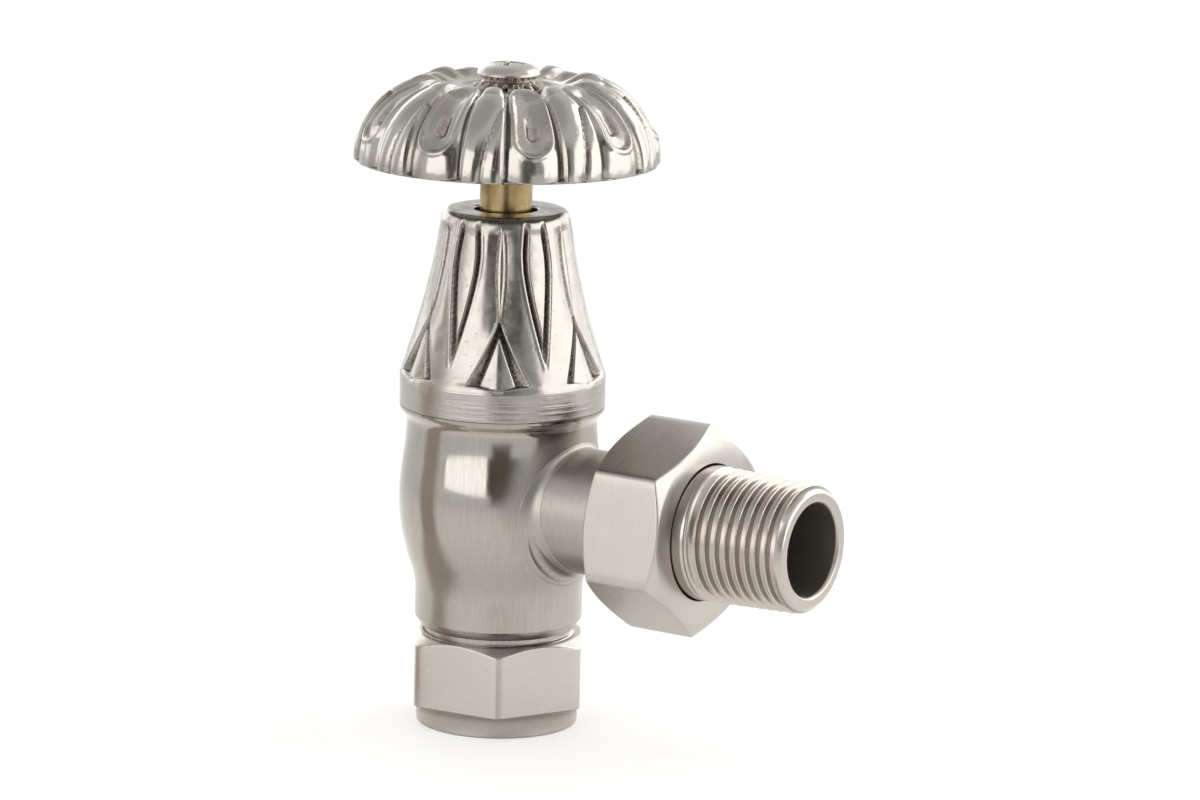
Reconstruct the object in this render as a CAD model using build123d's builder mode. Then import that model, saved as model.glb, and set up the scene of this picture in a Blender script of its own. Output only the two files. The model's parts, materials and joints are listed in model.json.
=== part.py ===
"""Angled handwheel radiator valve: brass body, screw-down headwork, union tail and pipe coupling.

Millimetres, +Z up the spindle.  The origin is the middle of the pipe inlet's mouth, and the
radiator tail points along +X.  The valve is modelled fully open and both unions are done up.
"""
import os
from math import cos, radians, sin, sqrt, tan

from build123d import *

# ---------------------------------------------------------------- fits
pipe_gap = 0.10          # pipe to the bores that it slides through, on the radius
thread_gap = 0.05        # male to female thread, on the radius
run_gap = 0.05           # shaft to hole, on the radius
seat_gap = 0.10          # between faces that close up only under load
edge_break = 0.4         # small chamfers on machined edges
hex_chamfer = 30.0       # degrees, on every spanner hexagon

# ---------------------------------------------------------------- pipe inlet
pipe_r = 7.5             # 15 mm copper pipe
pipe_bore_r = pipe_r + pipe_gap
waterway_r = 5.9         # bore below the valve seat
inlet_thread_r = 12.0
nut_flats = 27.0
nut_collar_r = 13.15
nut_collar_h = 3.85
nut_hex_h = 11.2
nut_turn = 5.0           # degrees that the inlet nut's corners stand round from +X
nut_h = nut_collar_h + nut_hex_h

olive_h = 6.0
olive_wall = 1.3         # at the crown of the olive
olive_land = 2.0         # height of the crown
olive_end_wall = 0.5
olive_mid_z = 7.0
cone_gap = 0.2           # olive to its two cones, on the radius
cone_lead = 0.3          # mouth of each cone past the olive's crown, on the radius
cone_slope = 0.5         # radius gained for each mm along the pipe
cone_mouth_r = pipe_bore_r + olive_wall + cone_gap + cone_lead
cone_h = (cone_mouth_r - pipe_bore_r) / cone_slope
cone_reach = olive_h / 2 + (olive_end_wall + cone_gap) / cone_slope
nut_cone_z = olive_mid_z - cone_reach
body_foot_z = olive_mid_z + cone_reach - cone_h
pipe_stop_z = 19.7

# ---------------------------------------------------------------- valve body
tail_z = 37.2            # height of the tail's axis
skirt_gap = 1.1          # inlet thread left bare above the nut
skirt_foot_z = nut_h + skirt_gap
skirt_r = 13.6           # plain cylinder above the inlet nut
skirt_foot_r = 12.55
skirt_chamfer_h = 1.5
skirt_top_z = 22.15
shoulder_in = 1.65       # inside the rim, on the radius
shoulder_z = 27.75
belly_in = 0.1
belly_rise = 1.6         # widest part of the belly above the tail's axis
belly_z = tail_z + belly_rise
neck_in = 1.2
neck_drop = 2.5          # waist below the joint with the shroud
rim_r = 16.6
rim_h = 0.4              # straight edge below the joint with the shroud
joint_z = 52.65
shoulder_r = rim_r - shoulder_in
belly_r = rim_r - belly_in
neck_r = rim_r - neck_in
neck_z = joint_z - neck_drop
seat_drop = 7.7          # seat below the tail's axis
seat_z = tail_z - seat_drop
seat_lip_w = 1.6
seat_lip_h = 1.4
chamber_step = 1.4       # chamber inside the headwork's thread, on the radius
headwork_shank_h = 7.4
headwork_foot_z = joint_z - headwork_shank_h
joint_ring_r = 0.78      # room for the section of the ring between body and headwork

# ---------------------------------------------------------------- union
port_r = 6.9
spout_r = 10.1
union_thread_r = 13.2    # three-quarter inch parallel thread
union_thread_x = 27.55
union_thread_l = 7.4
union_socket_depth = 4.0
union_flats = 30.0
union_skirt = 1.3        # nut's back edge before the start of the thread
union_lip = 3.5          # thickness of the nut round the tail
union_hole_r = 11.15
union_turn = -7.0        # degrees that the union nut's corners stand round from upright
spout_end_x = union_thread_x + union_thread_l
union_back_x = union_thread_x - union_skirt

# ---------------------------------------------------------------- radiator tail
tail_end_x = 59.85
tail_bore_r = 7.45
tail_nose_r = 9.15
tail_collar_r = 12.4
tail_collar_h = 1.6
tail_plain_r = 10.35
tail_plain_l = 0.6       # plain stretch showing past the nut, before the thread runs out
gauge_r = 20.955 / 2     # half inch taper pipe thread at its gauge plane
gauge_length = 8.2
thread_pitch = 1.814
thread_taper = 1 / 16    # on the diameter
thread_depth = 1.16
thread_flat = 0.36       # width of a crest, and of a root
tail_chamfer = 1.1
o_ring_groove_depth = 1.0
o_ring_groove_w = 1.3
o_ring_slack = 0.03      # free room round each rubber ring
tail_collar_x = spout_end_x + seat_gap
union_shoulder_x = tail_collar_x + tail_collar_h + seat_gap
union_front_x = union_shoulder_x + union_lip

# ---------------------------------------------------------------- shroud
shroud_top_z = 84.6
band_h = 5.2             # plain band above the joint
leaf_foot_r = 14.3
leaf_foot_rise = 12.3    # above the joint
leaf_mid_r = 12.1        # halfway between the leaves' feet and their upper ends
leaf_top_r = 10.5
top_round_h = 1.75       # rounded shoulder at the top of the shroud
shroud_top_r = 9.15
shroud_hole_r = 5.2
shroud_wall = 2.15
shroud_plate_h = 1.7
web_drop = 4.9           # threaded web below the headwork's top
web_h = 3.5
leaves = 6
leaf_turn = 2.0          # degrees that a leaf's midrib stands round from +X
flute_w = 5.1            # mouth of the V between two leaves
flute_rise = 9.75        # tip of the V above the joint
flute_depth = 1.15
arrow_w = 10.2           # foot of the recess at the root of each leaf
arrow_foot_rise = 5.5    # above the joint
arrow_h = 9.0
arrow_depth = 1.25
cutter_run = 8.0         # how far a recess cutter stands out from its floor
leaf_top_z = shroud_top_z - top_round_h
leaf_foot_z = joint_z + leaf_foot_rise
leaf_mid_z = (leaf_foot_z + leaf_top_z) / 2
flute_tip_z = joint_z + flute_rise
arrow_foot_z = joint_z + arrow_foot_rise
arrow_tip_z = arrow_foot_z + arrow_h
band_top_z = joint_z + band_h

# ---------------------------------------------------------------- headwork
flange_gap = 0.3         # flange to the inside of the shroud
flange_land = 2.35       # flange outside its thread, on the radius
flange_step = 3.15       # flange outside its flats
headwork_flange_h = 2.5
headwork_hex_h = 4.4
headwork_neck_r = 8.2
gland_hex_h = 3.9
gland_room = 1.2         # free height between the gland nut and the shroud's top
gland_flats = 13.0
gland_turn = 15.0
guide_r = 6.7            # hollow that takes the jumper's sleeve
guide_clear = 1.35       # free height over the sleeve when fully open
stem_thread_r = 5.0
backseat_h = 3.9         # shoulder above which the spindle's thread can't rise
stuffing_r = 6.5
stuffing_depth = 11.3
packing_h = 2.4
gland_ring_h = 1.3
headwork_flange_r = rim_r - shroud_wall - flange_gap
headwork_flats = 2 * (headwork_flange_r - flange_step)
headwork_thread_r = headwork_flange_r - flange_land
chamber_r = headwork_thread_r - chamber_step
headwork_top_z = shroud_top_z - shroud_plate_h - gland_room - gland_hex_h - seat_gap
stuffing_z = headwork_top_z - stuffing_depth
backseat_z = stuffing_z - backseat_h
web_z = headwork_top_z - web_drop

# ---------------------------------------------------------------- jumper and spindle
lift = 5.0               # travel of the washer from open to shut
washer_r = 7.7
washer_h = 2.9
plate_r = 4.55
plate_h = 0.8
washer_screw_r = 2.0
washer_head_r = 3.35
washer_head_h = 1.8
jumper_disc_r = 7.9
jumper_disc_h = 2.6
jumper_floor_h = 1.0
sleeve_r = 6.2
sleeve_h = 7.3
snap_rise = 3.3          # middle of the snap ring above the spindle's foot
snap_w = 1.1
snap_bite = 0.55         # how far the snap ring's groove goes into each piece
snap_gap = 0.08
spindle_r = 4.23
spindle_boss_r = 4.65
stem_neck_h = 6.1        # plain stem between the snap ring and the thread
washer_z = seat_z + lift + seat_gap / 2
jumper_z = washer_z + washer_h
sleeve_z = jumper_z + jumper_disc_h
spindle_foot_z = sleeve_z + jumper_floor_h + seat_gap
snap_z = spindle_foot_z + snap_rise
guide_top_z = sleeve_z + sleeve_h + guide_clear
stem_thread_z = snap_z + snap_w / 2 + stem_neck_h

# ---------------------------------------------------------------- handwheel
wheel_rise = 7.8         # rim above the shroud's top when fully open
rim_z = shroud_top_z + wheel_rise
wheel_r = 24.6
dome_centre_r = 11.5     # the dome's round section stands on a circle of this radius
dome_r = wheel_r - dome_centre_r
dome_rise = 0.6          # height of that section's centre above the rim
wheel_wall = 2.4
crown_w = 1.5            # flat crest between the dome and the well round the screw
crown_slope = 1.2
hub_r = 6.5
hub_foot = 1.6           # hub's lower end above the rim
well_depth = 1.6         # hub's top face below the crown
hub_top = dome_rise + dome_r - well_depth
web_top_h = 2.1          # metal between the hub's top face and the hollow under it
petals = 9
petal_turn = -4.6        # degrees that a spoon-shaped petal stands round from +X
petal_share = 0.26       # part of a petal's pitch from its middle to its edge groove
groove_r = 0.9
groove_bite = 0.45
groove_start_deg = -8.0  # angles round the dome's section where a cutter begins and ends
groove_end_deg = 84.0
spoon_r = 5.7
spoon_bite = 0.95
spoon_start_deg = 28.0
spoon_end_deg = 78.0
square_flats = 5.9
square_foot = 3.0        # foot of the spindle's square above the rim
square_drop = 0.3        # top of the square below the hub's top face
square_top = hub_top - square_drop
lock_washer_r = 5.4
lock_washer_h = 0.8
lock_teeth = 18
lock_tooth = 0.8
wheel_screw_r = 2.4
wheel_screw_h = 10.8
screw_head_r = 4.8
screw_neck_r = 3.55
screw_flare_h = 1.1
screw_dome_h = 1.85
slot_w = 0.9
slot_l = 5.3
slot_depth = 1.3

tail_axis = Axis((0, 0, tail_z), (1, 0, 0))
tail_plane = Plane(origin=(0, 0, tail_z), x_dir=(1, 0, 0), z_dir=(0, -1, 0))
dome_centre_z = rim_z + dome_rise
crown_r = dome_centre_r - crown_w

os.makedirs("parts", exist_ok=True)


def turned(points, plane=Plane.XZ, axis=Axis.Z, mode=Mode.ADD):
    """Turn a closed outline of straight edges about an axis."""
    with BuildSketch(plane) as outline:
        with BuildLine():
            Polyline(*points, close=True)
        make_face()
    revolve(outline.sketch, axis=axis, mode=mode)


def barrel(inner_r, outer_r, low, high):
    """Outline of a plain ring from its two radii and two ends."""
    return [(inner_r, low), (outer_r, low), (outer_r, high), (inner_r, high)]


def hexagon(flats, low, high, chamfer_low, chamfer_high, plane, axis, flip, turn):
    """Spanner hexagon with turned chamfers; flip is true where its axis is +X."""
    corner_r = flats / sqrt(3)
    drop = (corner_r - flats / 2) * tan(radians(hex_chamfer))
    with BuildSketch(plane.offset(low)) as flats_outline:
        RegularPolygon(corner_r, 6, rotation=turn)
    extrude(flats_outline.sketch, amount=high - low)
    outline = [
        (0, low),
        (flats / 2 if chamfer_low else corner_r, low),
        (corner_r, low + (drop if chamfer_low else 0)),
        (corner_r, high - (drop if chamfer_high else 0)),
        (flats / 2 if chamfer_high else corner_r, high),
        (0, high),
    ]
    outline = [p for i, p in enumerate(outline) if p != outline[i - 1]]
    if flip:
        turned([(z, r) for r, z in outline], tail_plane, axis, Mode.INTERSECT)
    else:
        turned(outline, Plane.XZ, axis, Mode.INTERSECT)


def finish(part, name):
    """Label a piece and write it to its own file."""
    part.label = name
    export_step(part, f"parts/{name}.step")


# ---------------------------------------------------------------- valve_body
with BuildPart() as valve_body:
    with BuildSketch(Plane.XZ):
        with BuildLine():
            Polyline(
                (0, body_foot_z),
                (inlet_thread_r - edge_break, body_foot_z),
                (inlet_thread_r, body_foot_z + edge_break),
                (inlet_thread_r, skirt_foot_z),
                (skirt_foot_r, skirt_foot_z),
                (skirt_r, skirt_foot_z + skirt_chamfer_h),
                (skirt_r, skirt_top_z),
            )
            Spline(
                (skirt_r, skirt_top_z),
                (shoulder_r, shoulder_z),
                (belly_r, belly_z),
                (neck_r, neck_z),
                tangents=[(0, 1), (0, 1)],
            )
            Spline((neck_r, neck_z), (rim_r, joint_z - rim_h), tangents=[(0, 1), (0.3, 1)])
            Polyline((rim_r, joint_z - rim_h), (rim_r, joint_z), (0, joint_z), (0, body_foot_z))
        make_face()
    revolve(axis=Axis.Z)
    # side spout with its union thread
    turned(
        [
            (0, 0),
            (spout_end_x, 0),
            (spout_end_x, union_thread_r - edge_break),
            (spout_end_x - edge_break, union_thread_r),
            (union_thread_x, union_thread_r),
            (union_thread_x - edge_break, spout_r),
            (0, spout_r),
        ],
        tail_plane,
        tail_axis,
    )
    # waterway, pipe socket and the cone that grips the olive
    turned(
        [
            (0, body_foot_z),
            (cone_mouth_r, body_foot_z),
            (pipe_bore_r, body_foot_z + cone_h),
            (pipe_bore_r, pipe_stop_z),
            (waterway_r, pipe_stop_z),
            (waterway_r, seat_z),
            (waterway_r + seat_lip_w, seat_z),
            (waterway_r + seat_lip_w, seat_z - seat_lip_h),
            (chamber_r, seat_z - seat_lip_h),
            (chamber_r, headwork_foot_z),
            (headwork_thread_r, headwork_foot_z),
            (headwork_thread_r, joint_z - 2 * joint_ring_r),
            (headwork_thread_r + 2 * joint_ring_r, joint_z - 2 * joint_ring_r),
            (headwork_thread_r + 2 * joint_ring_r, joint_z),
            (0, joint_z),
        ],
        mode=Mode.SUBTRACT,
    )
    # outlet port, opening into the union socket
    turned(
        [
            (0, 0),
            (spout_end_x, 0),
            (spout_end_x, tail_nose_r + run_gap),
            (spout_end_x - union_socket_depth, tail_nose_r + run_gap),
            (spout_end_x - union_socket_depth, port_r),
            (0, port_r),
        ],
        tail_plane,
        tail_axis,
        Mode.SUBTRACT,
    )
finish(valve_body.part, "valve_body")

# ---------------------------------------------------------------- compression_nut
with BuildPart() as compression_nut:
    hexagon(nut_flats, nut_collar_h, nut_h, False, True, Plane.XY, Axis.Z, False, nut_turn)
    turned(
        [
            (0, 0),
            (nut_collar_r - edge_break, 0),
            (nut_collar_r, edge_break),
            (nut_collar_r, nut_collar_h),
            (0, nut_collar_h),
        ]
    )
    turned(
        [
            (0, 0),
            (pipe_bore_r, 0),
            (pipe_bore_r, nut_cone_z),
            (cone_mouth_r, nut_cone_z + cone_h),
            (inlet_thread_r + thread_gap, nut_cone_z + cone_h),
            (inlet_thread_r + thread_gap, nut_h),
            (0, nut_h),
        ],
        mode=Mode.SUBTRACT,
    )
finish(compression_nut.part, "compression_nut")

# ---------------------------------------------------------------- olive
with BuildPart() as olive:
    turned(
        [
            (pipe_bore_r, olive_mid_z - olive_h / 2),
            (pipe_bore_r + olive_end_wall, olive_mid_z - olive_h / 2),
            (pipe_bore_r + olive_wall, olive_mid_z - olive_land / 2),
            (pipe_bore_r + olive_wall, olive_mid_z + olive_land / 2),
            (pipe_bore_r + olive_end_wall, olive_mid_z + olive_h / 2),
            (pipe_bore_r, olive_mid_z + olive_h / 2),
        ]
    )
finish(olive.part, "olive")

# ---------------------------------------------------------------- union_nut
with BuildPart() as union_nut:
    union_plane = Plane(origin=(0, 0, tail_z), x_dir=(0, 0, 1), z_dir=(1, 0, 0))
    hexagon(
        union_flats,
        union_back_x,
        union_front_x,
        True,
        True,
        union_plane,
        tail_axis,
        True,
        union_turn,
    )
    turned(
        [
            (union_back_x, 0),
            (union_back_x, union_thread_r + thread_gap),
            (union_shoulder_x, union_thread_r + thread_gap),
            (union_shoulder_x, union_hole_r),
            (union_front_x - edge_break, union_hole_r),
            (union_front_x, union_hole_r + edge_break),
            (union_front_x, 0),
        ],
        tail_plane,
        tail_axis,
        Mode.SUBTRACT,
    )
finish(union_nut.part, "union_nut")

# ---------------------------------------------------------------- radiator_tail
tail_nose_x = spout_end_x - union_socket_depth + seat_gap
ring_groove_x = (tail_nose_x + tail_collar_x) / 2
ring_floor_r = tail_nose_r - o_ring_groove_depth


def crest_r(x):
    """Radius of the taper thread's crests at a distance along the tail."""
    return gauge_r + (tail_end_x - gauge_length - x) * thread_taper / 2


thread_room = tail_end_x - tail_chamfer - union_front_x - tail_plain_l
thread_count = int(thread_room / thread_pitch)
flank = thread_pitch / 2 - thread_flat
ridges = []
for i in range(thread_count):
    ridge_x = tail_end_x - tail_chamfer - (thread_count - 1 - i) * thread_pitch
    start = ridge_x - thread_pitch
    ridges += [
        (start + thread_flat / 2, crest_r(start) - thread_depth),
        (start + thread_flat / 2 + flank, crest_r(ridge_x)),
        (start + thread_flat * 1.5 + flank, crest_r(ridge_x)),
        (ridge_x - thread_flat / 2, crest_r(ridge_x) - thread_depth),
    ]
thread_start_x = ridges[0][0] - thread_flat

with BuildPart() as radiator_tail:
    turned(
        [
            (tail_nose_x, tail_bore_r),
            (tail_nose_x, tail_nose_r - edge_break),
            (tail_nose_x + edge_break, tail_nose_r),
            (ring_groove_x - o_ring_groove_w / 2, tail_nose_r),
            (ring_groove_x - o_ring_groove_w / 2, ring_floor_r),
            (ring_groove_x + o_ring_groove_w / 2, ring_floor_r),
            (ring_groove_x + o_ring_groove_w / 2, tail_nose_r),
            (tail_collar_x, tail_nose_r),
            (tail_collar_x, tail_collar_r),
            (tail_collar_x + tail_collar_h, tail_collar_r),
            (tail_collar_x + tail_collar_h, tail_plain_r),
            (thread_start_x - thread_depth / 2, tail_plain_r),
            *ridges,
            (tail_end_x, crest_r(tail_end_x) - thread_depth),
            (tail_end_x, tail_bore_r + edge_break),
            (tail_end_x - edge_break, tail_bore_r),
        ],
        tail_plane,
        tail_axis,
    )
finish(radiator_tail.part, "radiator_tail")

# ---------------------------------------------------------------- tail_o_ring
tail_ring_section = (o_ring_groove_depth + run_gap) / 2 - o_ring_slack
with BuildPart() as tail_o_ring:
    with BuildSketch(tail_plane):
        with Locations((ring_groove_x, ring_floor_r + tail_ring_section + o_ring_slack)):
            Circle(tail_ring_section)
    revolve(axis=tail_axis)
finish(tail_o_ring.part, "tail_o_ring")

# ---------------------------------------------------------------- headwork
headwork_hex_z = joint_z + headwork_flange_h
with BuildPart() as headwork:
    hexagon(
        headwork_flats,
        headwork_hex_z,
        headwork_hex_z + headwork_hex_h,
        False,
        True,
        Plane.XY,
        Axis.Z,
        False,
        0,
    )
    turned(
        [
            (0, headwork_foot_z),
            (headwork_thread_r - thread_gap - edge_break, headwork_foot_z),
            (headwork_thread_r - thread_gap, headwork_foot_z + edge_break),
            (headwork_thread_r - thread_gap, joint_z),
            (headwork_flange_r, joint_z),
            (headwork_flange_r, headwork_hex_z - edge_break),
            (headwork_flange_r - edge_break, headwork_hex_z),
            (headwork_neck_r, headwork_hex_z),
            (headwork_neck_r, headwork_top_z - edge_break),
            (headwork_neck_r - edge_break, headwork_top_z),
            (0, headwork_top_z),
        ]
    )
    turned(
        [
            (0, headwork_foot_z),
            (guide_r, headwork_foot_z),
            (guide_r, guide_top_z),
            (stem_thread_r, guide_top_z),
            (stem_thread_r, backseat_z),
            (spindle_r + run_gap, backseat_z),
            (spindle_r + run_gap, stuffing_z),
            (stuffing_r, stuffing_z),
            (stuffing_r, headwork_top_z),
            (0, headwork_top_z),
        ],
        mode=Mode.SUBTRACT,
    )
finish(headwork.part, "headwork")

# ---------------------------------------------------------------- headwork_seal
with BuildPart() as headwork_seal:
    with BuildSketch(Plane.XZ):
        with Locations((headwork_thread_r + joint_ring_r, joint_z - joint_ring_r)):
            Circle(joint_ring_r - o_ring_slack)
    revolve(axis=Axis.Z)
finish(headwork_seal.part, "headwork_seal")

# ---------------------------------------------------------------- gland_packing
packing_z = stuffing_z + run_gap
with BuildPart() as gland_packing:
    turned(barrel(spindle_r + run_gap, stuffing_r - run_gap, packing_z, packing_z + packing_h))
finish(gland_packing.part, "gland_packing")

# ---------------------------------------------------------------- spindle_o_rings
stem_ring_section = (stuffing_r - spindle_r) / 2 - run_gap
stem_ring_pitch = 2 * stem_ring_section + seat_gap
stem_ring_z = packing_z + packing_h + seat_gap + stem_ring_section
with BuildPart() as spindle_o_rings:
    with BuildSketch(Plane.XZ):
        with Locations(
            ((spindle_r + stuffing_r) / 2, stem_ring_z),
            ((spindle_r + stuffing_r) / 2, stem_ring_z + stem_ring_pitch),
        ):
            Circle(stem_ring_section)
    revolve(axis=Axis.Z)
finish(spindle_o_rings.part, "spindle_o_rings")

# ---------------------------------------------------------------- gland_ring
gland_ring_z = stem_ring_z + stem_ring_pitch + stem_ring_section + seat_gap
with BuildPart() as gland_ring:
    turned(
        barrel(
            spindle_r + run_gap, stuffing_r - run_gap, gland_ring_z, gland_ring_z + gland_ring_h
        )
    )
finish(gland_ring.part, "gland_ring")

# ---------------------------------------------------------------- gland_nut
gland_hex_z = headwork_top_z + seat_gap
with BuildPart() as gland_nut:
    hexagon(
        gland_flats,
        gland_hex_z,
        gland_hex_z + gland_hex_h,
        False,
        True,
        Plane.XY,
        Axis.Z,
        False,
        gland_turn,
    )
    turned(
        barrel(0, stuffing_r - thread_gap, gland_ring_z + gland_ring_h + seat_gap, gland_hex_z)
    )
    Cylinder(
        spindle_r + run_gap,
        3 * headwork_top_z,
        align=(Align.CENTER, Align.CENTER, Align.CENTER),
        mode=Mode.SUBTRACT,
    )
finish(gland_nut.part, "gland_nut")

# ---------------------------------------------------------------- spindle
square_z = rim_z + square_foot
with BuildPart() as spindle:
    turned(
        [
            (0, spindle_foot_z),
            (spindle_boss_r - edge_break, spindle_foot_z),
            (spindle_boss_r, spindle_foot_z + edge_break),
            (spindle_boss_r, snap_z - snap_w / 2),
            (spindle_boss_r - snap_bite, snap_z - snap_w / 2),
            (spindle_boss_r - snap_bite, snap_z + snap_w / 2),
            (spindle_boss_r, snap_z + snap_w / 2),
            (spindle_boss_r, stem_thread_z),
            (stem_thread_r - thread_gap, stem_thread_z),
            (stem_thread_r - thread_gap, backseat_z - seat_gap),
            (spindle_r, backseat_z - seat_gap),
            (spindle_r, square_z),
            (0, square_z),
        ]
    )
    with BuildSketch(Plane.XY.offset(square_z)):
        Rectangle(square_flats, square_flats)
    extrude(amount=square_top - square_foot)
    with BuildSketch(Plane.XY.offset(rim_z + square_top)):
        Circle(wheel_screw_r + thread_gap)
    extrude(amount=-(wheel_screw_h + seat_gap), mode=Mode.SUBTRACT)
finish(spindle.part, "spindle")

# ---------------------------------------------------------------- jumper
sleeve_bore_r = spindle_boss_r + run_gap
with BuildPart() as jumper:
    turned(
        [
            (0, jumper_z),
            (jumper_disc_r, jumper_z),
            (jumper_disc_r, sleeve_z - edge_break),
            (jumper_disc_r - edge_break, sleeve_z),
            (sleeve_r, sleeve_z),
            (sleeve_r, sleeve_z + sleeve_h),
            (sleeve_bore_r, sleeve_z + sleeve_h),
            (sleeve_bore_r, snap_z + snap_w / 2),
            (sleeve_bore_r + snap_bite, snap_z + snap_w / 2),
            (sleeve_bore_r + snap_bite, snap_z - snap_w / 2),
            (sleeve_bore_r, snap_z - snap_w / 2),
            (sleeve_bore_r, spindle_foot_z - seat_gap),
            (0, spindle_foot_z - seat_gap),
        ]
    )
    with BuildSketch(Plane.XY.offset(jumper_z)):
        Circle(washer_screw_r + thread_gap)
    extrude(amount=jumper_disc_h, mode=Mode.SUBTRACT)
finish(jumper.part, "jumper")

# ---------------------------------------------------------------- snap_ring
with BuildPart() as snap_ring:
    turned(
        barrel(
            spindle_boss_r - snap_bite + snap_gap,
            sleeve_bore_r + snap_bite - snap_gap,
            snap_z - snap_w / 2 + snap_gap,
            snap_z + snap_w / 2 - snap_gap,
        )
    )
    with BuildSketch(Plane.XY.offset(snap_z - snap_w)):
        with Locations((spindle_boss_r, 0)):
            Rectangle(2 * spindle_boss_r, snap_w)
    extrude(amount=2 * snap_w, mode=Mode.SUBTRACT)
finish(snap_ring.part, "snap_ring")

# ---------------------------------------------------------------- valve_washer
with BuildPart() as valve_washer:
    turned(barrel(washer_screw_r + run_gap, washer_r, washer_z, jumper_z))
    fillet(valve_washer.edges().group_by(Axis.Z)[0].sort_by(SortBy.LENGTH)[-1], edge_break)
finish(valve_washer.part, "valve_washer")

# ---------------------------------------------------------------- washer_plate
plate_z = washer_z - plate_h
with BuildPart() as washer_plate:
    turned(barrel(washer_screw_r + run_gap, plate_r, plate_z, washer_z))
finish(washer_plate.part, "washer_plate")

# ---------------------------------------------------------------- washer_screw
with BuildPart() as washer_screw:
    turned(barrel(0, washer_head_r, plate_z - washer_head_h, plate_z))
    chamfer(washer_screw.edges().group_by(Axis.Z)[0], edge_break)
    turned(barrel(0, washer_screw_r, plate_z, sleeve_z - seat_gap))
    with BuildSketch(Plane.XY.offset(plate_z - washer_head_h)):
        Rectangle(2 * washer_head_r, slot_w)
    extrude(amount=washer_head_h / 2, mode=Mode.SUBTRACT)
finish(washer_screw.part, "washer_screw")

# ---------------------------------------------------------------- shroud
# The leaves are what is left between two kinds of recess.  A flute is a long V whose floor
# follows the shroud's own surface at one depth, and an arrow is a short wedge whose flat floor
# runs from its tip, which lies on the surface, to its full depth at the foot of the leaf.


def surface_r(z):
    """Radius of the shroud's plain surface, taken straight between its named sections."""
    rows = [
        (band_top_z, rim_r),
        (leaf_foot_z, leaf_foot_r),
        (leaf_mid_z, leaf_mid_r),
        (leaf_top_z, leaf_top_r),
    ]
    for (z0, r0), (z1, r1) in zip(rows, rows[1:]):
        if z <= z1:
            return r0 + (r1 - r0) * (z - z0) / (z1 - z0)
    return leaf_top_r


def wedge(tip_r, tip_z, wide_r, wide_z, width, past):
    """Triangular cutter on the side that faces +X, with its floor between two heights."""
    tip = Vector(tip_r, 0, tip_z)
    wide = Vector(wide_r, 0, wide_z)
    run = (wide - tip).normalized()
    out = run.cross(Vector(0, 1, 0)).normalized()
    if out.X < 0:
        out = -out
    length = (wide - tip).length + past
    spread = width / 2 * length / (length - past)
    with BuildPart() as cutter:
        with BuildSketch(Plane(origin=tip, x_dir=run, z_dir=out)):
            with BuildLine():
                Polyline((0, 0), (length, spread), (length, -spread), close=True)
            make_face()
        extrude(amount=cutter_run)
    return cutter.part


with BuildPart() as flute_cutter:
    add(
        wedge(
            surface_r(flute_tip_z) - 2 * flute_depth,
            flute_tip_z,
            leaf_top_r - 2 * flute_depth,
            leaf_top_z,
            flute_w,
            top_round_h + flute_depth,
        )
    )
    with BuildSketch(Plane.XZ):
        with BuildLine():
            Polyline(
                (0, joint_z),
                (rim_r - flute_depth, joint_z),
                (rim_r - flute_depth, band_top_z),
                (surface_r(flute_tip_z) - flute_depth, flute_tip_z),
                (leaf_foot_r - flute_depth, leaf_foot_z),
                (leaf_mid_r - flute_depth, leaf_mid_z),
                (leaf_top_r - flute_depth, leaf_top_z),
                (shroud_top_r - flute_depth, shroud_top_z + flute_depth),
                (0, shroud_top_z + flute_depth),
                close=True,
            )
        make_face()
    revolve(axis=Axis.Z, mode=Mode.SUBTRACT)
arrow_cutter = wedge(
    surface_r(arrow_tip_z),
    arrow_tip_z,
    surface_r(arrow_foot_z) - arrow_depth,
    arrow_foot_z,
    arrow_w,
    0,
)
inner_foot_r = rim_r - shroud_wall
web_r = headwork_neck_r + thread_gap
with BuildPart() as shroud:
    with BuildSketch(Plane.XZ):
        with BuildLine():
            Polyline((0, joint_z), (rim_r, joint_z), (rim_r, band_top_z))
            Spline(
                (rim_r, band_top_z),
                (leaf_foot_r, leaf_foot_z),
                (leaf_mid_r, leaf_mid_z),
                (leaf_top_r, leaf_top_z),
            )
            Spline(
                (leaf_top_r, leaf_top_z),
                (shroud_top_r, shroud_top_z),
                tangents=[(-0.2, 1), (-1, 0)],
            )
            Polyline((shroud_top_r, shroud_top_z), (0, shroud_top_z), (0, joint_z))
        make_face()
    revolve(axis=Axis.Z)
    with PolarLocations(0, leaves, start_angle=leaf_turn + 180 / leaves):
        add(flute_cutter.part, mode=Mode.SUBTRACT)
    with PolarLocations(0, leaves, start_angle=leaf_turn):
        add(arrow_cutter, mode=Mode.SUBTRACT)
    turned(
        [
            (0, joint_z),
            (inner_foot_r, joint_z),
            (inner_foot_r, band_top_z - shroud_wall),
            (leaf_foot_r - shroud_wall, leaf_foot_z),
            (surface_r(web_z) - shroud_wall, web_z),
            (web_r, web_z),
            (web_r, web_z + web_h),
            (surface_r(web_z + web_h) - shroud_wall, web_z + web_h),
            (leaf_top_r - shroud_wall, leaf_top_z),
            (leaf_top_r - shroud_wall, shroud_top_z - shroud_plate_h),
            (shroud_hole_r, shroud_top_z - shroud_plate_h),
            (shroud_hole_r, shroud_top_z),
            (0, shroud_top_z),
        ],
        mode=Mode.SUBTRACT,
    )
finish(shroud.part, "shroud")

# ---------------------------------------------------------------- handwheel
crown_z = dome_centre_z + dome_r
inner_dome_r = dome_r - wheel_wall
hub_top_z = rim_z + hub_top
petal_pitch = 360 / petals


def dome_point(radius, angle_deg):
    """Point on a circle about the dome's section centre, in the XZ plane."""
    angle = radians(angle_deg)
    return (dome_centre_r + radius * cos(angle), dome_centre_z + radius * sin(angle))


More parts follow.
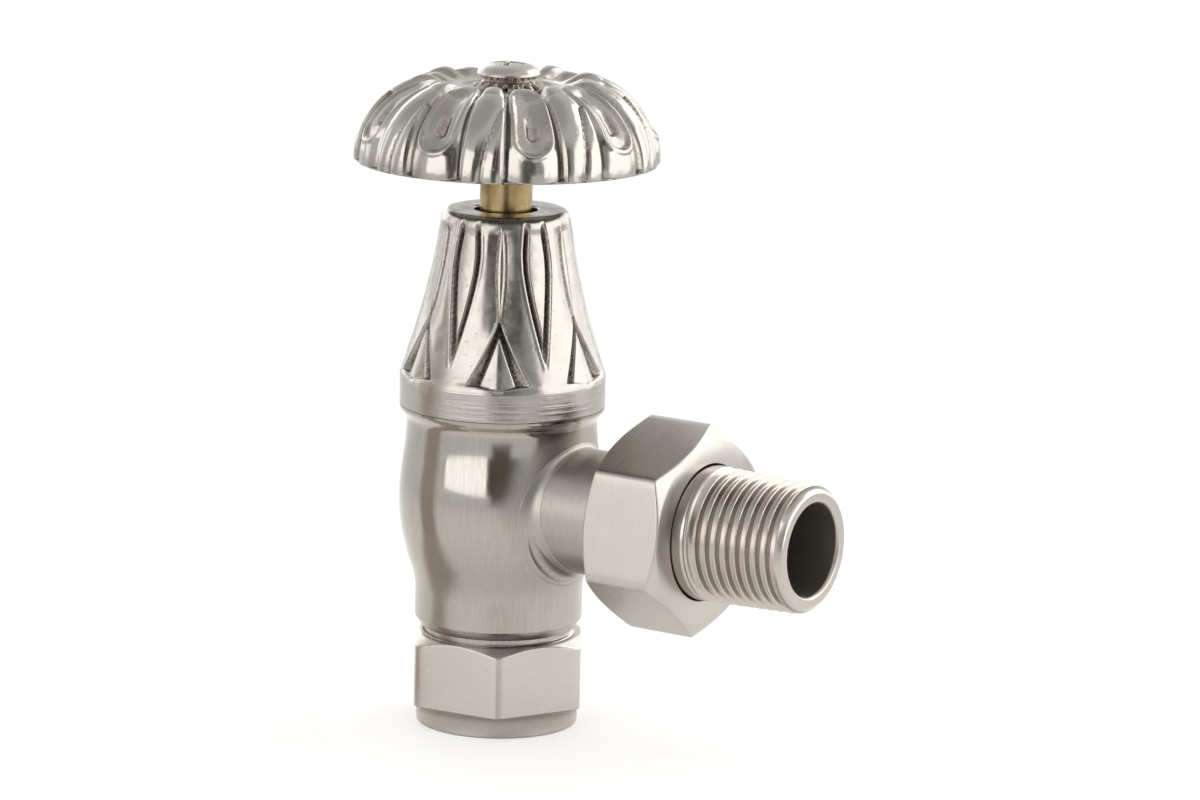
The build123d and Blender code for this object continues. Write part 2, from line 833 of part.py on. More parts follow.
def dome_groove(tool_r, track_r, low_deg, high_deg, round_end):
    """Cutter of round section that runs along the dome on the side that faces +X."""
    low = radians(low_deg)
    centre = (dome_centre_r, 0, dome_centre_z)
    start = Plane(origin=centre, x_dir=(cos(low), 0, sin(low)), z_dir=(-sin(low), 0, cos(low)))
    with BuildPart() as cutter:
        with BuildSketch(start):
            with Locations((track_r, 0)):
                Circle(tool_r)
        revolve(axis=Axis(centre, (0, -1, 0)), revolution_arc=high_deg - low_deg)
        if round_end:
            x, z = dome_point(track_r, low_deg)
            with Locations((x, 0, z)):
                Sphere(tool_r)
    return cutter.part


groove_track_r = dome_r - groove_bite + groove_r
spoon_track_r = dome_r - spoon_bite + spoon_r
groove_cutter = dome_groove(
    groove_r, groove_track_r, groove_start_deg, groove_end_deg, False
)
spoon_cutter = dome_groove(spoon_r, spoon_track_r, spoon_start_deg, spoon_end_deg, True)
with BuildPart() as handwheel:
    with BuildSketch(Plane.XZ):
        with BuildLine():
            ThreePointArc(
                dome_point(dome_r, 0), dome_point(dome_r, 45), dome_point(dome_r, 90)
            )
            Polyline(
                dome_point(dome_r, 90),
                (crown_r, crown_z),
                (crown_r - crown_slope, hub_top_z),
                (0, hub_top_z),
                (0, rim_z + hub_foot),
                (hub_r, rim_z + hub_foot),
                (hub_r, hub_top_z - web_top_h),
                (dome_centre_r - wheel_wall, hub_top_z - web_top_h),
                dome_point(inner_dome_r, 90),
            )
            ThreePointArc(
                dome_point(inner_dome_r, 90),
                dome_point(inner_dome_r, 45),
                dome_point(inner_dome_r, 0),
            )
            Polyline(
                dome_point(inner_dome_r, 0),
                (wheel_r - wheel_wall, rim_z),
                (wheel_r, rim_z),
                dome_point(dome_r, 0),
            )
        make_face()
    revolve(axis=Axis.Z)
    for edge_deg in (-petal_share * petal_pitch, petal_share * petal_pitch, petal_pitch / 2):
        with PolarLocations(0, petals, start_angle=petal_turn + edge_deg):
            add(groove_cutter, mode=Mode.SUBTRACT)
    with PolarLocations(0, petals, start_angle=petal_turn):
        add(spoon_cutter, mode=Mode.SUBTRACT)
    with BuildSketch(Plane.XY.offset(rim_z)):
        Circle(spindle_r + run_gap)
    extrude(amount=square_foot, mode=Mode.SUBTRACT)
    with BuildSketch(Plane.XY.offset(rim_z)):
        Rectangle(square_flats + 2 * run_gap, square_flats + 2 * run_gap)
    extrude(amount=hub_top, mode=Mode.SUBTRACT)
finish(handwheel.part, "handwheel")

# ---------------------------------------------------------------- lock_washer
with BuildPart() as lock_washer:
    with BuildSketch(Plane.XY.offset(hub_top_z)):
        Circle(lock_washer_r)
        with PolarLocations(lock_washer_r, lock_teeth):
            Rectangle(2 * lock_tooth, lock_tooth, mode=Mode.SUBTRACT)
        Circle(wheel_screw_r + run_gap, mode=Mode.SUBTRACT)
    extrude(amount=lock_washer_h)
finish(lock_washer.part, "lock_washer")

# ---------------------------------------------------------------- wheel_screw
head_z = hub_top_z + lock_washer_h
flare_z = head_z + screw_flare_h
head_top_z = flare_z + screw_dome_h
with BuildPart() as wheel_screw:
    with BuildSketch(Plane.XZ):
        with BuildLine():
            Polyline(
                (0, head_top_z),
                (0, rim_z + square_top - wheel_screw_h),
                (wheel_screw_r, rim_z + square_top - wheel_screw_h),
                (wheel_screw_r, head_z),
                (screw_neck_r, head_z),
                (screw_head_r, flare_z),
            )
            Spline(
                (screw_head_r, flare_z), (0, head_top_z), tangents=[(-0.4, 1), (-1, 0)]
            )
        make_face()
    revolve(axis=Axis.Z)
    for turn in (0, 90):
        with BuildSketch(Plane.XY.offset(head_top_z)):
            Rectangle(slot_l, slot_w, rotation=turn)
        extrude(amount=-slot_depth, mode=Mode.SUBTRACT)
finish(wheel_screw.part, "wheel_screw")
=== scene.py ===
"""Looks of an angled handwheel radiator valve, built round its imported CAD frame.

Every piece is a surface turned about one of the valve's two axes.  A section is a line of radius
and height, and a relief is a depth that depends on the angle and on the place along the section.
Lengths are in millimetres until skin() puts them into a mesh.
"""

import functools
import json
import math

import bpy
import numpy as np
from bpy.props import FloatProperty, FloatVectorProperty, IntProperty, PointerProperty
from mathutils import Euler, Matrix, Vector


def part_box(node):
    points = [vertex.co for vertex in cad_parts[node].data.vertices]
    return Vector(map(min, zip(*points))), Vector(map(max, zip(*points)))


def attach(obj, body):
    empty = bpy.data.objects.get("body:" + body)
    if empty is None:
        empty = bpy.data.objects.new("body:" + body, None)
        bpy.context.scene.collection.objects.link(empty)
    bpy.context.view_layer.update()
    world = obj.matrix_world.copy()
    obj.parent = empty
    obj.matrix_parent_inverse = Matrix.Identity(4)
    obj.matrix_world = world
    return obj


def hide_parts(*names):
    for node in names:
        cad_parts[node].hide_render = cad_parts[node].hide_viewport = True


bl_info = {
    "name": "Handwheel radiator valve",
    "version": (1, 0, 0),
    "blender": (4, 5, 0),
    "location": "View3D > Sidebar > Valve",
    "description": "Builds the visible castings, nuts, threads and finishes of a radiator valve",
    "category": "Object",
}

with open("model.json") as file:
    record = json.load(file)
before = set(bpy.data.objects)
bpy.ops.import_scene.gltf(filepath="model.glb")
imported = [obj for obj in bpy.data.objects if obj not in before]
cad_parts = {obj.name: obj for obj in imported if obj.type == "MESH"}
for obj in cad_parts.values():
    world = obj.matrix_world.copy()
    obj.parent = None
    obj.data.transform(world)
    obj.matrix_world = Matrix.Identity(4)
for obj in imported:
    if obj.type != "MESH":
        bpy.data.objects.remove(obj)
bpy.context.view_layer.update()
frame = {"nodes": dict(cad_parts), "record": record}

MM = 0.001


def cad_mm(node):
    """Lowest and highest corner of a CAD node in millimetres, each as x, y and z."""
    return [[c / MM for c in corner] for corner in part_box(node)]


SHROUD_LOW, SHROUD_HIGH = cad_mm("shroud")
WHEEL_LOW, WHEEL_HIGH = cad_mm("handwheel")
TAIL_LOW, TAIL_HIGH = cad_mm("radiator_tail")
UNION_LOW, UNION_HIGH = cad_mm("union_nut")
BODY_LOW, BODY_HIGH = cad_mm("valve_body")
SCREW_LOW, SCREW_HIGH = cad_mm("wheel_screw")
WASHER_HIGH = cad_mm("lock_washer")[1]
NUT_TOP = cad_mm("compression_nut")[1][2]
JOINT_Z = SHROUD_LOW[2]
SHROUD_TOP = SHROUD_HIGH[2]
RIM_Z = WHEEL_LOW[2]
WHEEL_R = WHEEL_HIGH[1]
TAIL_Z = (TAIL_LOW[2] + TAIL_HIGH[2]) / 2


# ---------------------------------------------------------------- curves and surfaces
def ramp(x):
    """Smooth step from 0 to 1 as x goes from 0 to 1: three squares less two cubes."""
    x = np.clip(x, 0.0, 1.0)
    return x * x * (3.0 - 2.0 * x)


def bell(x):
    """Rounded hump of height 1 at x = 0, a normal curve that has faded at x = 2."""
    return np.exp(-x * x)


def soft_min(a, b, reach):
    """Lesser of a and b, with their crossing rounded over the distance reach."""
    share = np.clip(0.5 + 0.5 * (b - a) / reach, 0.0, 1.0)
    return b + (a - b) * share - reach * share * (1.0 - share)


def bend(start, middle, end, count):
    """Points of the parabola that leaves start towards middle and comes from there to end."""
    t = np.linspace(0, 1, count)[:, None]
    start, middle, end = (np.array(point, float) for point in (start, middle, end))
    return start * (1 - t) ** 2 + 2 * middle * t * (1 - t) + end * t**2


def rounded(corners, closed=False, steps=4):
    """Section line through corners (radius, height, rounding), as an array of points.

    Each corner becomes a parabola between the points where the rounding starts and ends, with
    one more point just outside each end to keep the shading crisp.
    """
    hold = 0.05
    corners = np.array(corners, float)
    points = []
    for i, (r, h, size) in enumerate(corners):
        here = np.array([r, h])
        if size <= 0 or not closed and i in (0, len(corners) - 1):
            points.append(here[None])
            continue
        before = corners[i - 1][:2] - here
        after = corners[(i + 1) % len(corners)][:2] - here
        long_a, long_b = np.linalg.norm(before), np.linalg.norm(after)
        size = min(size, 0.45 * long_a, 0.45 * long_b)
        a, b = before / long_a, after / long_b
        t = np.linspace(0, 1, steps + 1)[:, None]
        arch = here + a * size * (1 - t) ** 2 + b * size * t**2
        points.append(np.vstack([here + a * (size + hold), arch, here + b * (size + hold)]))
    return np.vstack(points)


def finer(line, step, closed=False):
    """The same line with points added so that none are further apart than step."""
    nxt = np.roll(line, -1, 0) if closed else line[1:]
    here = line if closed else line[:-1]
    gaps = np.maximum(1, np.ceil(np.linalg.norm(nxt - here, axis=1) / step)).astype(int)
    at = np.repeat(np.arange(len(here)), gaps)
    share = (np.arange(len(at)) - np.repeat(np.cumsum(gaps) - gaps, gaps)) / gaps[at]
    out = here[at] + (nxt[at] - here[at]) * share[:, None]
    return out if closed else np.vstack([out, line[-1:]])


def outward(line):
    """Unit vectors square to a closed section line, on its outer side: the tangent less 90."""
    run = np.roll(line, -1, 0) - np.roll(line, 1, 0)
    run /= np.linalg.norm(run, axis=1)[:, None] + 1e-12
    return np.stack([run[:, 1], -run[:, 0]], 1)


def swept(line, count):
    """Column of angles round a full turn, and the line's radius and height at each of them."""
    turn = np.linspace(0, 2 * math.pi, count, endpoint=False)[:, None]
    return turn, np.repeat(line[None, :, 0], count, 0), np.repeat(line[None, :, 1], count, 0)


def turned(turn, radius, height, axis):
    """Points at angles about an axis: radius cos, radius sin and height, as (turn, line, 3).

    About "z" the height is z; about "x" it is x and the angle runs from +Y towards +Z.
    """
    c, s = np.cos(turn), np.sin(turn)
    if axis == "z":
        return np.stack([radius * c, radius * s, height], -1)
    return np.stack([height, radius * c, TAIL_Z + radius * s], -1)


def put(name, data):
    """New object of the scene that holds a mesh, a lamp or a camera."""
    made = bpy.data.objects.new(name, data)
    bpy.context.scene.collection.objects.link(made)
    return made


BODY, WHEEL = ("valve", "satin_nickel_body"), "wheel_and_spindle"
# each piece's body, slot of the record, finish and the CAD node that it stands for
PIECES = {
    "leaf_shroud": ("valve", "polished_nickel_shroud", "tumbled_nickel_casting", "shroud"),
    "petal_handwheel": (WHEEL, "polished_nickel_wheel", "polished_nickel_casting", "handwheel"),
    "union_hexagon": ("union_ring", "satin_nickel_nut", "brushed_nickel_union_nut", "union_nut"),
    "inlet_hexagon": ("pipe_nut", "satin_nickel_nut", "brushed_nickel_inlet_nut", "compression_nut"),
    "threaded_tail": ("tail", "satin_nickel_tail", "turned_nickel_thread", "radiator_tail"),
    "inlet_thread": (*BODY, "turned_nickel_thread"),
    "spout_thread": (*BODY, "turned_nickel_thread"),
    "spout_fillet": (*BODY, "soft_polished_nickel_body"),
    "domed_wheel_screw": (WHEEL, "plated_screw", "bright_plated_screw", "wheel_screw"),
    "toothed_washer": (WHEEL, "spring_steel", "oiled_spring_steel", "lock_washer"),
}


def skin(name, points, poles=False, **layers):
    """Closed mesh over a grid of points (turn, line), joined all round.

    The line is joined end to end, or, with poles, each end becomes one point on the axis with a
    fan of triangles.  layers are point attributes with one value each.
    """
    turns, line = points.shape[:2]
    vertices = points.reshape(-1, 3)
    i, j = np.meshgrid(np.arange(turns), np.arange(line - 1 if poles else line), indexing="ij")
    i2, j2 = (i + 1) % turns, (j + 1) % line
    quads = np.stack([i * line + j, i2 * line + j, i2 * line + j2, i * line + j2], -1)
    faces = quads.reshape(-1, 4).tolist()
    k = np.arange(turns)
    for column, order in ((0, 1), (line - 1, -1)) if poles else ():
        tip = np.full(turns, len(vertices))
        vertices = np.vstack([vertices, points[:, column].mean(0, keepdims=True)])
        fan = np.stack([tip, (k + 1) % turns * line + column, k * line + column], -1)
        faces += fan[:, ::order].tolist()
    mesh = bpy.data.meshes.new(name)
    mesh.from_pydata((vertices * MM).tolist(), [], faces)
    mesh.shade_smooth()
    for layer, values in layers.items():
        full = np.zeros(len(vertices), np.float32)
        full[: turns * line] = values.reshape(-1)
        mesh.attributes.new(layer, "FLOAT", "POINT").data.foreach_set("value", full)
    mesh.validate()
    mesh.update()
    piece = put(name, mesh)
    body, slot_name, finish, *nodes = PIECES[name]
    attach(piece, body)
    if nodes:
        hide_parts(*nodes)
    mesh.materials.append(bpy.data.materials[finish])


def wrap(turn, period):
    """Angle from the middle of the nearest repeat, between plus and minus half a period."""
    return (turn + period / 2) % period - period / 2


# ---------------------------------------------------------------- node helpers
SMOOTH = {"interpolation_type": "SMOOTHSTEP"}
COLOUR = {"data_type": "RGBA"}
TIMES = {"operation": "MULTIPLY"}
TIMES_PLUS = {"operation": "MULTIPLY_ADD"}
GREATER = {"operation": "MAXIMUM"}


def linear(hex_colour):
    """Linear RGBA from an sRGB hex value such as "C8C2B8"."""
    parts = [int(hex_colour[i : i + 2], 16) / 255 for i in (0, 2, 4)]
    return [p / 12.92 if p <= 0.04045 else ((p + 0.055) / 1.055) ** 2.4 for p in parts] + [1.0]


def add_node(tree, kind, *values, take=0, **named):
    """Adds one shader node and returns its output socket take, by place or by label.

    A value is a number, an sRGB hex colour or an output socket.  Values go in order into the
    sockets that the node's settings leave open.  A named value goes into the socket of that
    label, with its spaces as underscores, and a name in small letters is a setting.
    """
    node = tree.nodes.new("ShaderNode" + kind)
    for key in [key for key in named if key.islower()]:
        setattr(node, key, named.pop(key))
    filled = list(zip((s for s in node.inputs if s.enabled), values))
    filled += [(node.inputs[label.replace("_", " ")], value) for label, value in named.items()]
    for socket, value in filled:
        if isinstance(value, bpy.types.NodeSocket):
            tree.links.new(value, socket)
        else:
            socket.default_value = linear(value) if isinstance(value, str) else value
    outputs = [s for s in node.outputs if s.enabled] or [None]
    return outputs[take] if isinstance(take, int) else node.outputs[take]


def blank(kind, name):
    """New material or world, one of bpy.data's kinds, as add_node bound to its emptied tree."""
    data = kind.new(name)
    data.use_nodes = True
    data.node_tree.nodes.clear()
    return functools.partial(add_node, data.node_tree)


def place(add, stretch):
    """Object coordinates in millimetres, stretched by one factor or by one for each axis.

    A noise laid on them has one feature to about one millimetre over the stretch.
    """
    scale = [float(s) / MM for s in np.broadcast_to(stretch, 3)]
    return add("Mapping", add("TexCoord", take="Object"), Scale=scale)


def shaded(add, colour, rough, bumps, depth_mm, strength, **sockets):
    """Ends a material's tree with its shader, a metal's unless the sockets say otherwise.

    Its bump takes the heights in bumps, from 0 to 1, as depth_mm deep.
    """
    normal = add("Bump", strength, depth_mm * MM, Height=bumps)
    ends = {"Roughness": rough, "Metallic": 1.0, "Normal": normal} | sockets
    add("OutputMaterial", add("BsdfPrincipled", colour, **ends))


def tangent_round(add, axis, centre_z):
    """Way that scratches run round an axis at centre_z mm: the axis cross the arm from it."""
    where = add("TexCoord", take="Object")
    arm = add("VectorMath", where, (0, 0, centre_z * MM), operation="SUBTRACT")
    ways = {"vector_type": "VECTOR", "convert_from": "OBJECT", "convert_to": "WORLD"}
    ends = [add("VectorTransform", end, **ways) for end in (axis, arm)]
    return add("VectorMath", *ends, operation="CROSS_PRODUCT")


# ---------------------------------------------------------------- sizes and colours
def number(name, description, default, **limits):
    """Property of one number, with its limits, unit or subtype where it has any."""
    return FloatProperty(name=name, description=description, default=default, **limits)


def degrees(name, description, value):
    """Property that holds an angle, given in degrees."""
    return number(name, description, math.radians(value), subtype="ANGLE")


class ValveCastingSizes(bpy.types.PropertyGroup):
    """Relief of the leaf shroud and of the petalled handwheel."""

    leaves: IntProperty(name="Leaves", description="Leaves round the shroud", default=6)
    leaf_turn: degrees("Leaf turn", "Where the first midrib stands, round from +X", 2.0)
    leaf_depth: number("Leaf depth", "Depth of the V between leaves, mm", 1.15)
    petals: IntProperty(name="Petals", description="Petals round the handwheel", default=9)
    petal_turn: degrees("Petal turn", "Where the first petal stands, round from +X", -4.6)
    petal_depth: number("Spoon depth", "Depth of the spoon in each petal, mm", 1.25)


class ValveMachinedSizes(bpy.types.PropertyGroup):
    """Threads and hexagons."""

    pipe_pitch: number("Tail pitch", "Pitch of the half inch taper thread, mm", 1.814)
    ridge_depth: number("Ridge depth", "Depth between the tail's crests, mm", 1.0)
    body_pitch: number("Body pitch", "Pitch of the two threads on the body, mm", 1.5)
    hex_softness: number("Corner softness", "Rounding where a hexagon's flats meet", 0.018)


class ValveFinishColours(bpy.types.PropertyGroup):
    """Roughness and colour of the plated finishes."""

    polish: number("Polish", "Roughness of the polished handwheel", 0.17, min=0.02)
    tumbled: number("Tumbled", "Roughness of the leaf shroud", 0.25, min=0.02)
    satin: number("Satin", "Roughness of the brushed nickel", 0.29, min=0.05)
    nickel_tint: FloatVectorProperty(
        name="Nickel",
        description="Colour of the nickel plate",
        subtype="COLOR",
        default=linear("A7A39D")[:3],
    )


class ValveStageSettings(bpy.types.PropertyGroup):
    """Place of the camera round the valve."""

    azimuth: degrees("Azimuth", "Camera's way round, from the front", 33.892)
    elevation: degrees("Elevation", "Camera's height over the horizon", 11.685)
    roll: degrees("Roll", "Camera's lean about its own line of sight", 1.302)
    distance: number("Distance", "Camera to the middle of the valve", 0.8553, unit="LENGTH")
    lens: number("Lens", "Focal length, mm", 160.4)


# ---------------------------------------------------------------- leaf shroud
def leaf_relief(turn, z, radius, sizes):
    """Depth of the leaf casting below its plain skin, as (depth, hollow) arrays.

    Distances run along the skin from each leaf's midrib.  The midrib is a spear blade pointed
    at both ends, with a shallow trough on each side of it.  Low down the blades part round a
    sunk arrowhead with a blunt keel.  Between leaves a pair of sharp grooves closes to a point,
    on both sides of a rounded tongue.
    """
    period = 2 * math.pi / sizes.leaves
    local = wrap(turn - sizes.leaf_turn, period)
    side = np.abs(local) * radius
    v_side = (period / 2 - np.abs(local)) * radius
    v_tip, v_end = JOINT_Z + 8.5, SHROUD_TOP - 0.35
    fork, foot = JOINT_Z + 16.2, JOINT_Z + 5.8
    rib_end = SHROUD_TOP - 1.7

    # grooves and tongue between the leaves
    v_up = np.clip((z - v_tip) / (v_end - v_tip), 0, 1)
    v_half = 2.4 * (1 - (1 - np.clip(v_up / 0.66, 0, 1)) ** 1.35)
    v_half *= 1 - 0.24 * ramp((v_up - 0.72) / 0.28)
    v_deep = ramp((v_end - z) / 2.8) * ramp(v_half / 0.7)
    wall = ramp((v_half + 0.1 - v_side) / 0.3)
    tongue = ramp((v_half - 0.24 - v_side) / 0.8)
    v_cut = wall * (1 - 0.86 * tongue) * v_deep
    v_lip = bell((v_side - v_half - 0.36) / 0.24) * ramp((v_end - z) / 3.0)
    v_lip *= ramp((z - v_tip + 0.6) / 0.8)

    # midrib like a spear blade, proud of the trough on each side of it
    along = np.clip((rib_end - z) / (rib_end - fork), 0, 1)
    drop = np.clip((fork - z) / (fork - foot), 0, 1.1)
    rib_half = 0.08 + 0.55 * np.sin(math.pi * along**0.9) ** 0.8
    from_rib = side - rib_half - 5.2 * drop**1.25
    run_out = ramp((rib_end + 0.4 - z) / 1.6)
    ledge = ramp((z - foot + 0.17 * np.maximum(3.6 - side, 0)) / 0.34)
    leaf_half = period / 2 * radius - v_half
    room = np.maximum(0.75 * (leaf_half - side + from_rib), 0.5)
    trough = ramp(from_rib / 0.45) * (1 - ramp(from_rib / room)) * run_out * ledge
    trough *= 1 - 0.75 * ramp(drop / 0.3)
    groove = bell((from_rib - 0.14) / 0.2) * run_out * ramp((z - fork + 2.0) / 2.5)
    rounding = ramp((from_rib / room - 0.9) / 0.9) * run_out * ramp((z - v_tip) / 3.0)

    # under the fork the blades' edges fall in towards a sunk arrowhead with a blunt keel
    arrow_tip = fork - 1.9
    arrow_half = 3.4 * np.clip((arrow_tip - z) / (arrow_tip - foot), 0, 1.1) ** 1.1
    inner = ramp((0.1 - from_rib) / 0.3) * ledge * ramp((fork + 0.1 - z) / 0.9)
    gap = np.maximum(side - from_rib - arrow_half, 0.3)
    fall = np.clip((0.1 - from_rib) / gap, 0, 1)
    facet = ramp((arrow_half - side) / 0.26) * ledge
    keel = 0.10 + 0.22 * np.sqrt(side**2 + 0.2)

    sunk = sizes.leaf_depth * v_cut - 0.11 * v_lip + 0.12 * rounding
    crest = np.clip(side / rib_half, 0, 1) ** 2 * (1 - ramp(from_rib / 0.3)) * run_out
    sunk += 0.32 * trough + 0.16 * groove + 0.16 * crest * ramp((z - fork + 1.0) / 2.0)
    sunk += inner * ((1 - facet) * (0.35 + 0.9 * fall) + facet * keel)
    # hollow is painted shade with the casting's grain: dark along the V walls, the grooves beside
    # the midrib and the recess round the arrowhead, darkest where the blades fall deepest
    hollow = 1.15 * wall * (1 - tongue) * v_deep * ramp((z - v_tip + 1.0) / 7.0) + 0.8 * groove
    hollow += inner * (1 - facet) * (0.25 + 1.0 * fall**1.5)
    return sunk, np.clip(hollow, 0, 1)


class BuildLeafShroud(bpy.types.Operator):
    """Cast shroud with six leaves, hollow inside, on the headwork"""

    bl_idname = "valve.build_leaf_shroud"
    bl_label = "Leaf shroud"

    def execute(self, context):
        top, rim = SHROUD_TOP, SHROUD_HIGH[1]
        inner_r, mouth_r, bore_r, socket_r = rim - 2.15, 9.1, 5.2, 8.35
        plate_low, leaf_foot = top - 1.7, JOINT_Z + 12.3
        # plain skin: straight band, then a curve through three sections, then a soft shoulder
        knots = np.array(
            [(rim, JOINT_Z + 5.2), (14.3, leaf_foot), (12.1, top - 10.6), (10.5, top - 1.75)]
        )
        steps = np.cumsum(np.r_[0, np.linalg.norm(np.diff(knots, axis=0), axis=1)])
        s = np.linspace(0, steps[-1], 128)
        curve = np.stack([np.polyval(np.polyfit(steps, k, 3), s) for k in knots.T], 1)
        shoulder = bend(curve[-1], (10.15, top - 0.02), (mouth_r, top), 14)[1:]
        band = rounded([(inner_r, JOINT_Z, 0), (rim, JOINT_Z, 0.22), (*curve[0], 0)])
        band = finer(band, 0.9)[:-1]
        plate = [(mouth_r, top, 0), (bore_r, top, 0.3), (bore_r, plate_low, 0.15)]
        socket = [(socket_r, plate_low, 0.2), (socket_r, top - 7.0, 0)]
        cone = [(socket_r - 0.1, top - 12.0, 0), (12.1, leaf_foot, 0)]
        foot = [(inner_r, JOINT_Z + 3.0, 0), (inner_r, JOINT_Z, 0)]
        inside = rounded(plate + socket + cone + foot)
        line = np.vstack([band, curve, shoulder, finer(inside, 3.0)[1:-1]])
        face = np.zeros(len(line))
        face[len(band) : len(band) + len(curve) + len(shoulder)] = 1
        square = outward(line)
        turn, radius, z = swept(line, 480)
        sunk, hollow = leaf_relief(turn, z, radius, context.scene.valve_castings)
        sunk, hollow = sunk * face, hollow * face
        points = turned(turn, radius - sunk * square[:, 0], z - sunk * square[:, 1], "z")
        skin("leaf_shroud", points, hollow=hollow)
        return {"FINISHED"}


# ---------------------------------------------------------------- handwheel
def petal_relief(turn, arc, radius, sizes):
    """Depth of the wheel's casting below its round dome, as (depth, hollow) arrays.

    arc is the distance up the dome from its rim.  Each repeat is a broad petal and two ribs,
    crowned like pillows and parted by creases; the petal holds a spoon with a raised edge, and
    one of the ribs ends short of the crown.
    """
    period = 2 * math.pi / sizes.petals
    local = wrap(turn - sizes.petal_turn, period)
    edge = 0.29 * period
    # the short rib closes in a pointed arch, and the long rib takes its room
    short_arc = 13.0
    shut = np.clip((short_arc - arc) / short_arc, 0, 1) ** 0.6
    blunt = -edge - (0.52 * period - edge) * shut
    in_petal = np.abs(local) < edge
    in_short = (local <= -edge) & (local > blunt)
    here = np.where(local <= blunt, local + period, local)
    left = np.where(in_petal, -edge, np.where(in_short, blunt, edge))
    right = np.where(in_petal, edge, np.where(in_short, -edge, period + blunt))
    share = np.clip((here - left) / np.maximum(right - left, 1e-3) * 2 - 1, -1, 1)
    width = (right - left) * radius / 2
    from_crease = (1 - np.abs(share)) * width
    pillow = 0.82 * share**2 + 0.18 * share**8
    sunk = np.where(in_petal, 1.35, 1.0) * np.clip(width / 3.6, 0.2, 1.1) * pillow
    crease = bell(from_crease / 0.26)
    sunk = sunk + 0.05 * crease * ramp(width / 1.0)

    # spoon with a raised edge, and a drop-shaped dent in its floor
    across = local * radius
    spoon_end = 3.7
    half = 2.5 + 0.75 * np.clip((radius - 15) / 9, 0, 1)
    from_edge = half - np.hypot(across, np.minimum(arc - spoon_end - half, 0.0))
    fade = ramp((21.0 - arc) / 5.0) * in_petal
    bowl = ramp(from_edge / 0.85) * fade
    lip = bell((from_edge + 0.15) / 0.42) * fade
    dent_end = np.minimum(arc - spoon_end - half * 1.3, 0.0)
    inner = half * 0.42 - np.hypot(across - 0.15, dent_end)
    drop = ramp(inner / 0.8) * ramp((12.5 - arc) / 3.0) * in_petal
    sunk = sunk * (1 - 0.75 * bowl)
    sunk = sunk + sizes.petal_depth * bowl * (0.6 + 0.5 * ramp(from_edge / half))
    sunk += 0.5 * drop - 0.2 * lip

    # petal ends round the crown
    sunk += 0.95 * bell(from_crease / 0.62) * ramp((arc - 14.5) / 4.0)
    # hollow is painted shade with the casting's grain: dark in the creases, the spoons, the line
    # round each spoon's raised edge and round the dent, and darker and browner towards the crown
    # round the screw
    rim_line = bell((from_edge - 0.35) / 0.3) * fade
    hollow = 0.55 * crease + 0.15 * bowl + 0.35 * rim_line + 0.8 * bell((inner - 0.4) / 0.5) * drop
    hollow += 0.4 * ramp((arc - 16.0) / 4.0)
    return sunk, np.clip(hollow, 0, 1)


class BuildHandwheel(bpy.types.Operator):
    """Domed handwheel with nine petals, hollow below, on the spindle's square"""

    bl_idname = "valve.build_handwheel"
    bl_label = "Handwheel"

    def execute(self, context):
        wall, rim_h, centre_r = 2.4, 0.6, 11.5
        half_square, boss_r, boss_foot, stem_r = 3.2, 6.5, 1.6, 4.3
        dome_r = WHEEL_R - centre_r
        crown_z = rim_h + dome_r
        hub = crown_z - 1.75

        def arch(radius, angles):
            """Points of a circle about the middle of the dome's section."""
            return np.stack(
                [centre_r + radius * np.cos(angles), rim_h + radius * np.sin(angles)], 1
            )

        dome = arch(dome_r, np.linspace(0, math.radians(71), 96))
        # petal ends: over a low ring and down into the dish round the screw
        ring = bend(dome[-1], (13.5, 14.45), (10.9, crown_z - 0.75), 26)[1:]
        hollow_side = arch(dome_r - wall, np.linspace(math.pi / 2, 0, 14))
        rim = rounded([(WHEEL_R - wall, 0, 0.2), (WHEEL_R, 0, 0.45), (WHEEL_R, rim_h, 0)], steps=5)
        well = rounded([(*ring[-1], 0), (8.6, hub, 1.0), (half_square, hub, 0)])
        bore = [(half_square, hub, 0), (half_square, 3.0, 0), (stem_r, 2.98, 0)]
        boss = [(stem_r, boss_foot, 0.2), (boss_r, boss_foot, 0.3), (boss_r, hub - 2.0, 0.8)]
        below = rounded(bore + boss + [(centre_r - wall, hub - 2.0, 0.8), (*hollow_side[0], 0)])
        over = np.vstack([dome, ring, finer(well, 0.3)[1:]])
        line = np.vstack([rim[:-1], over, finer(below, 5.0)[1:-1], hollow_side])
        n_rim = len(rim) - 1
        outer = slice(n_rim, n_rim + len(over))
        arc = np.zeros(len(line))
        arc[outer] = np.cumsum(np.r_[0, np.linalg.norm(np.diff(over, axis=0), axis=1)])
        face = np.zeros(len(line))
        face[n_rim - 7 : n_rim] = 1
        face[outer] = 1 - ramp((arc[outer] - 20.5) / 3.0)
        line[:, 1] += RIM_Z
        square = outward(line)
        square[: n_rim + 1] = (1, 0)
        turn, radius, height = swept(line, 468)
        sunk, hollow = petal_relief(turn, arc[None], radius, context.scene.valve_castings)
        sunk, hollow = sunk * face, hollow * face
        # square hole for the spindle
        flat = 3.0 / np.maximum(np.abs(np.cos(turn)), np.abs(np.sin(turn)))
        in_hole = np.abs(line[:, 0] - half_square) < 0.01
        radius = np.where(in_hole, flat, radius - sunk * square[:, 0])
        # the rim's lower edge rises a little with each crease
        lower_edge = (np.arange(len(line)) < n_rim) & (line[:, 0] > WHEEL_R - 1.5)
        height = height - sunk * square[:, 1] + sunk * 0.28 * lower_edge
        skin("petal_handwheel", turned(turn, radius, height, "z"), hollow=hollow)
        return {"FINISHED"}


# ---------------------------------------------------------------- hexagon nuts
def hexagon(turn, flats, first_corner, softness):
    """Radius of a hexagon's outline at each angle, its corners rounded.

    The sum of the flats' directions, each raised to a high power, replaces the greatest one.
    """
    faces = first_corner + math.radians(30) + np.arange(6) * math.radians(60)
    facing = np.clip(np.cos(turn - faces), 0, 1)
    return (flats / 2 / (facing ** (1.0 / softness)).sum(-1) ** softness)[:, None]


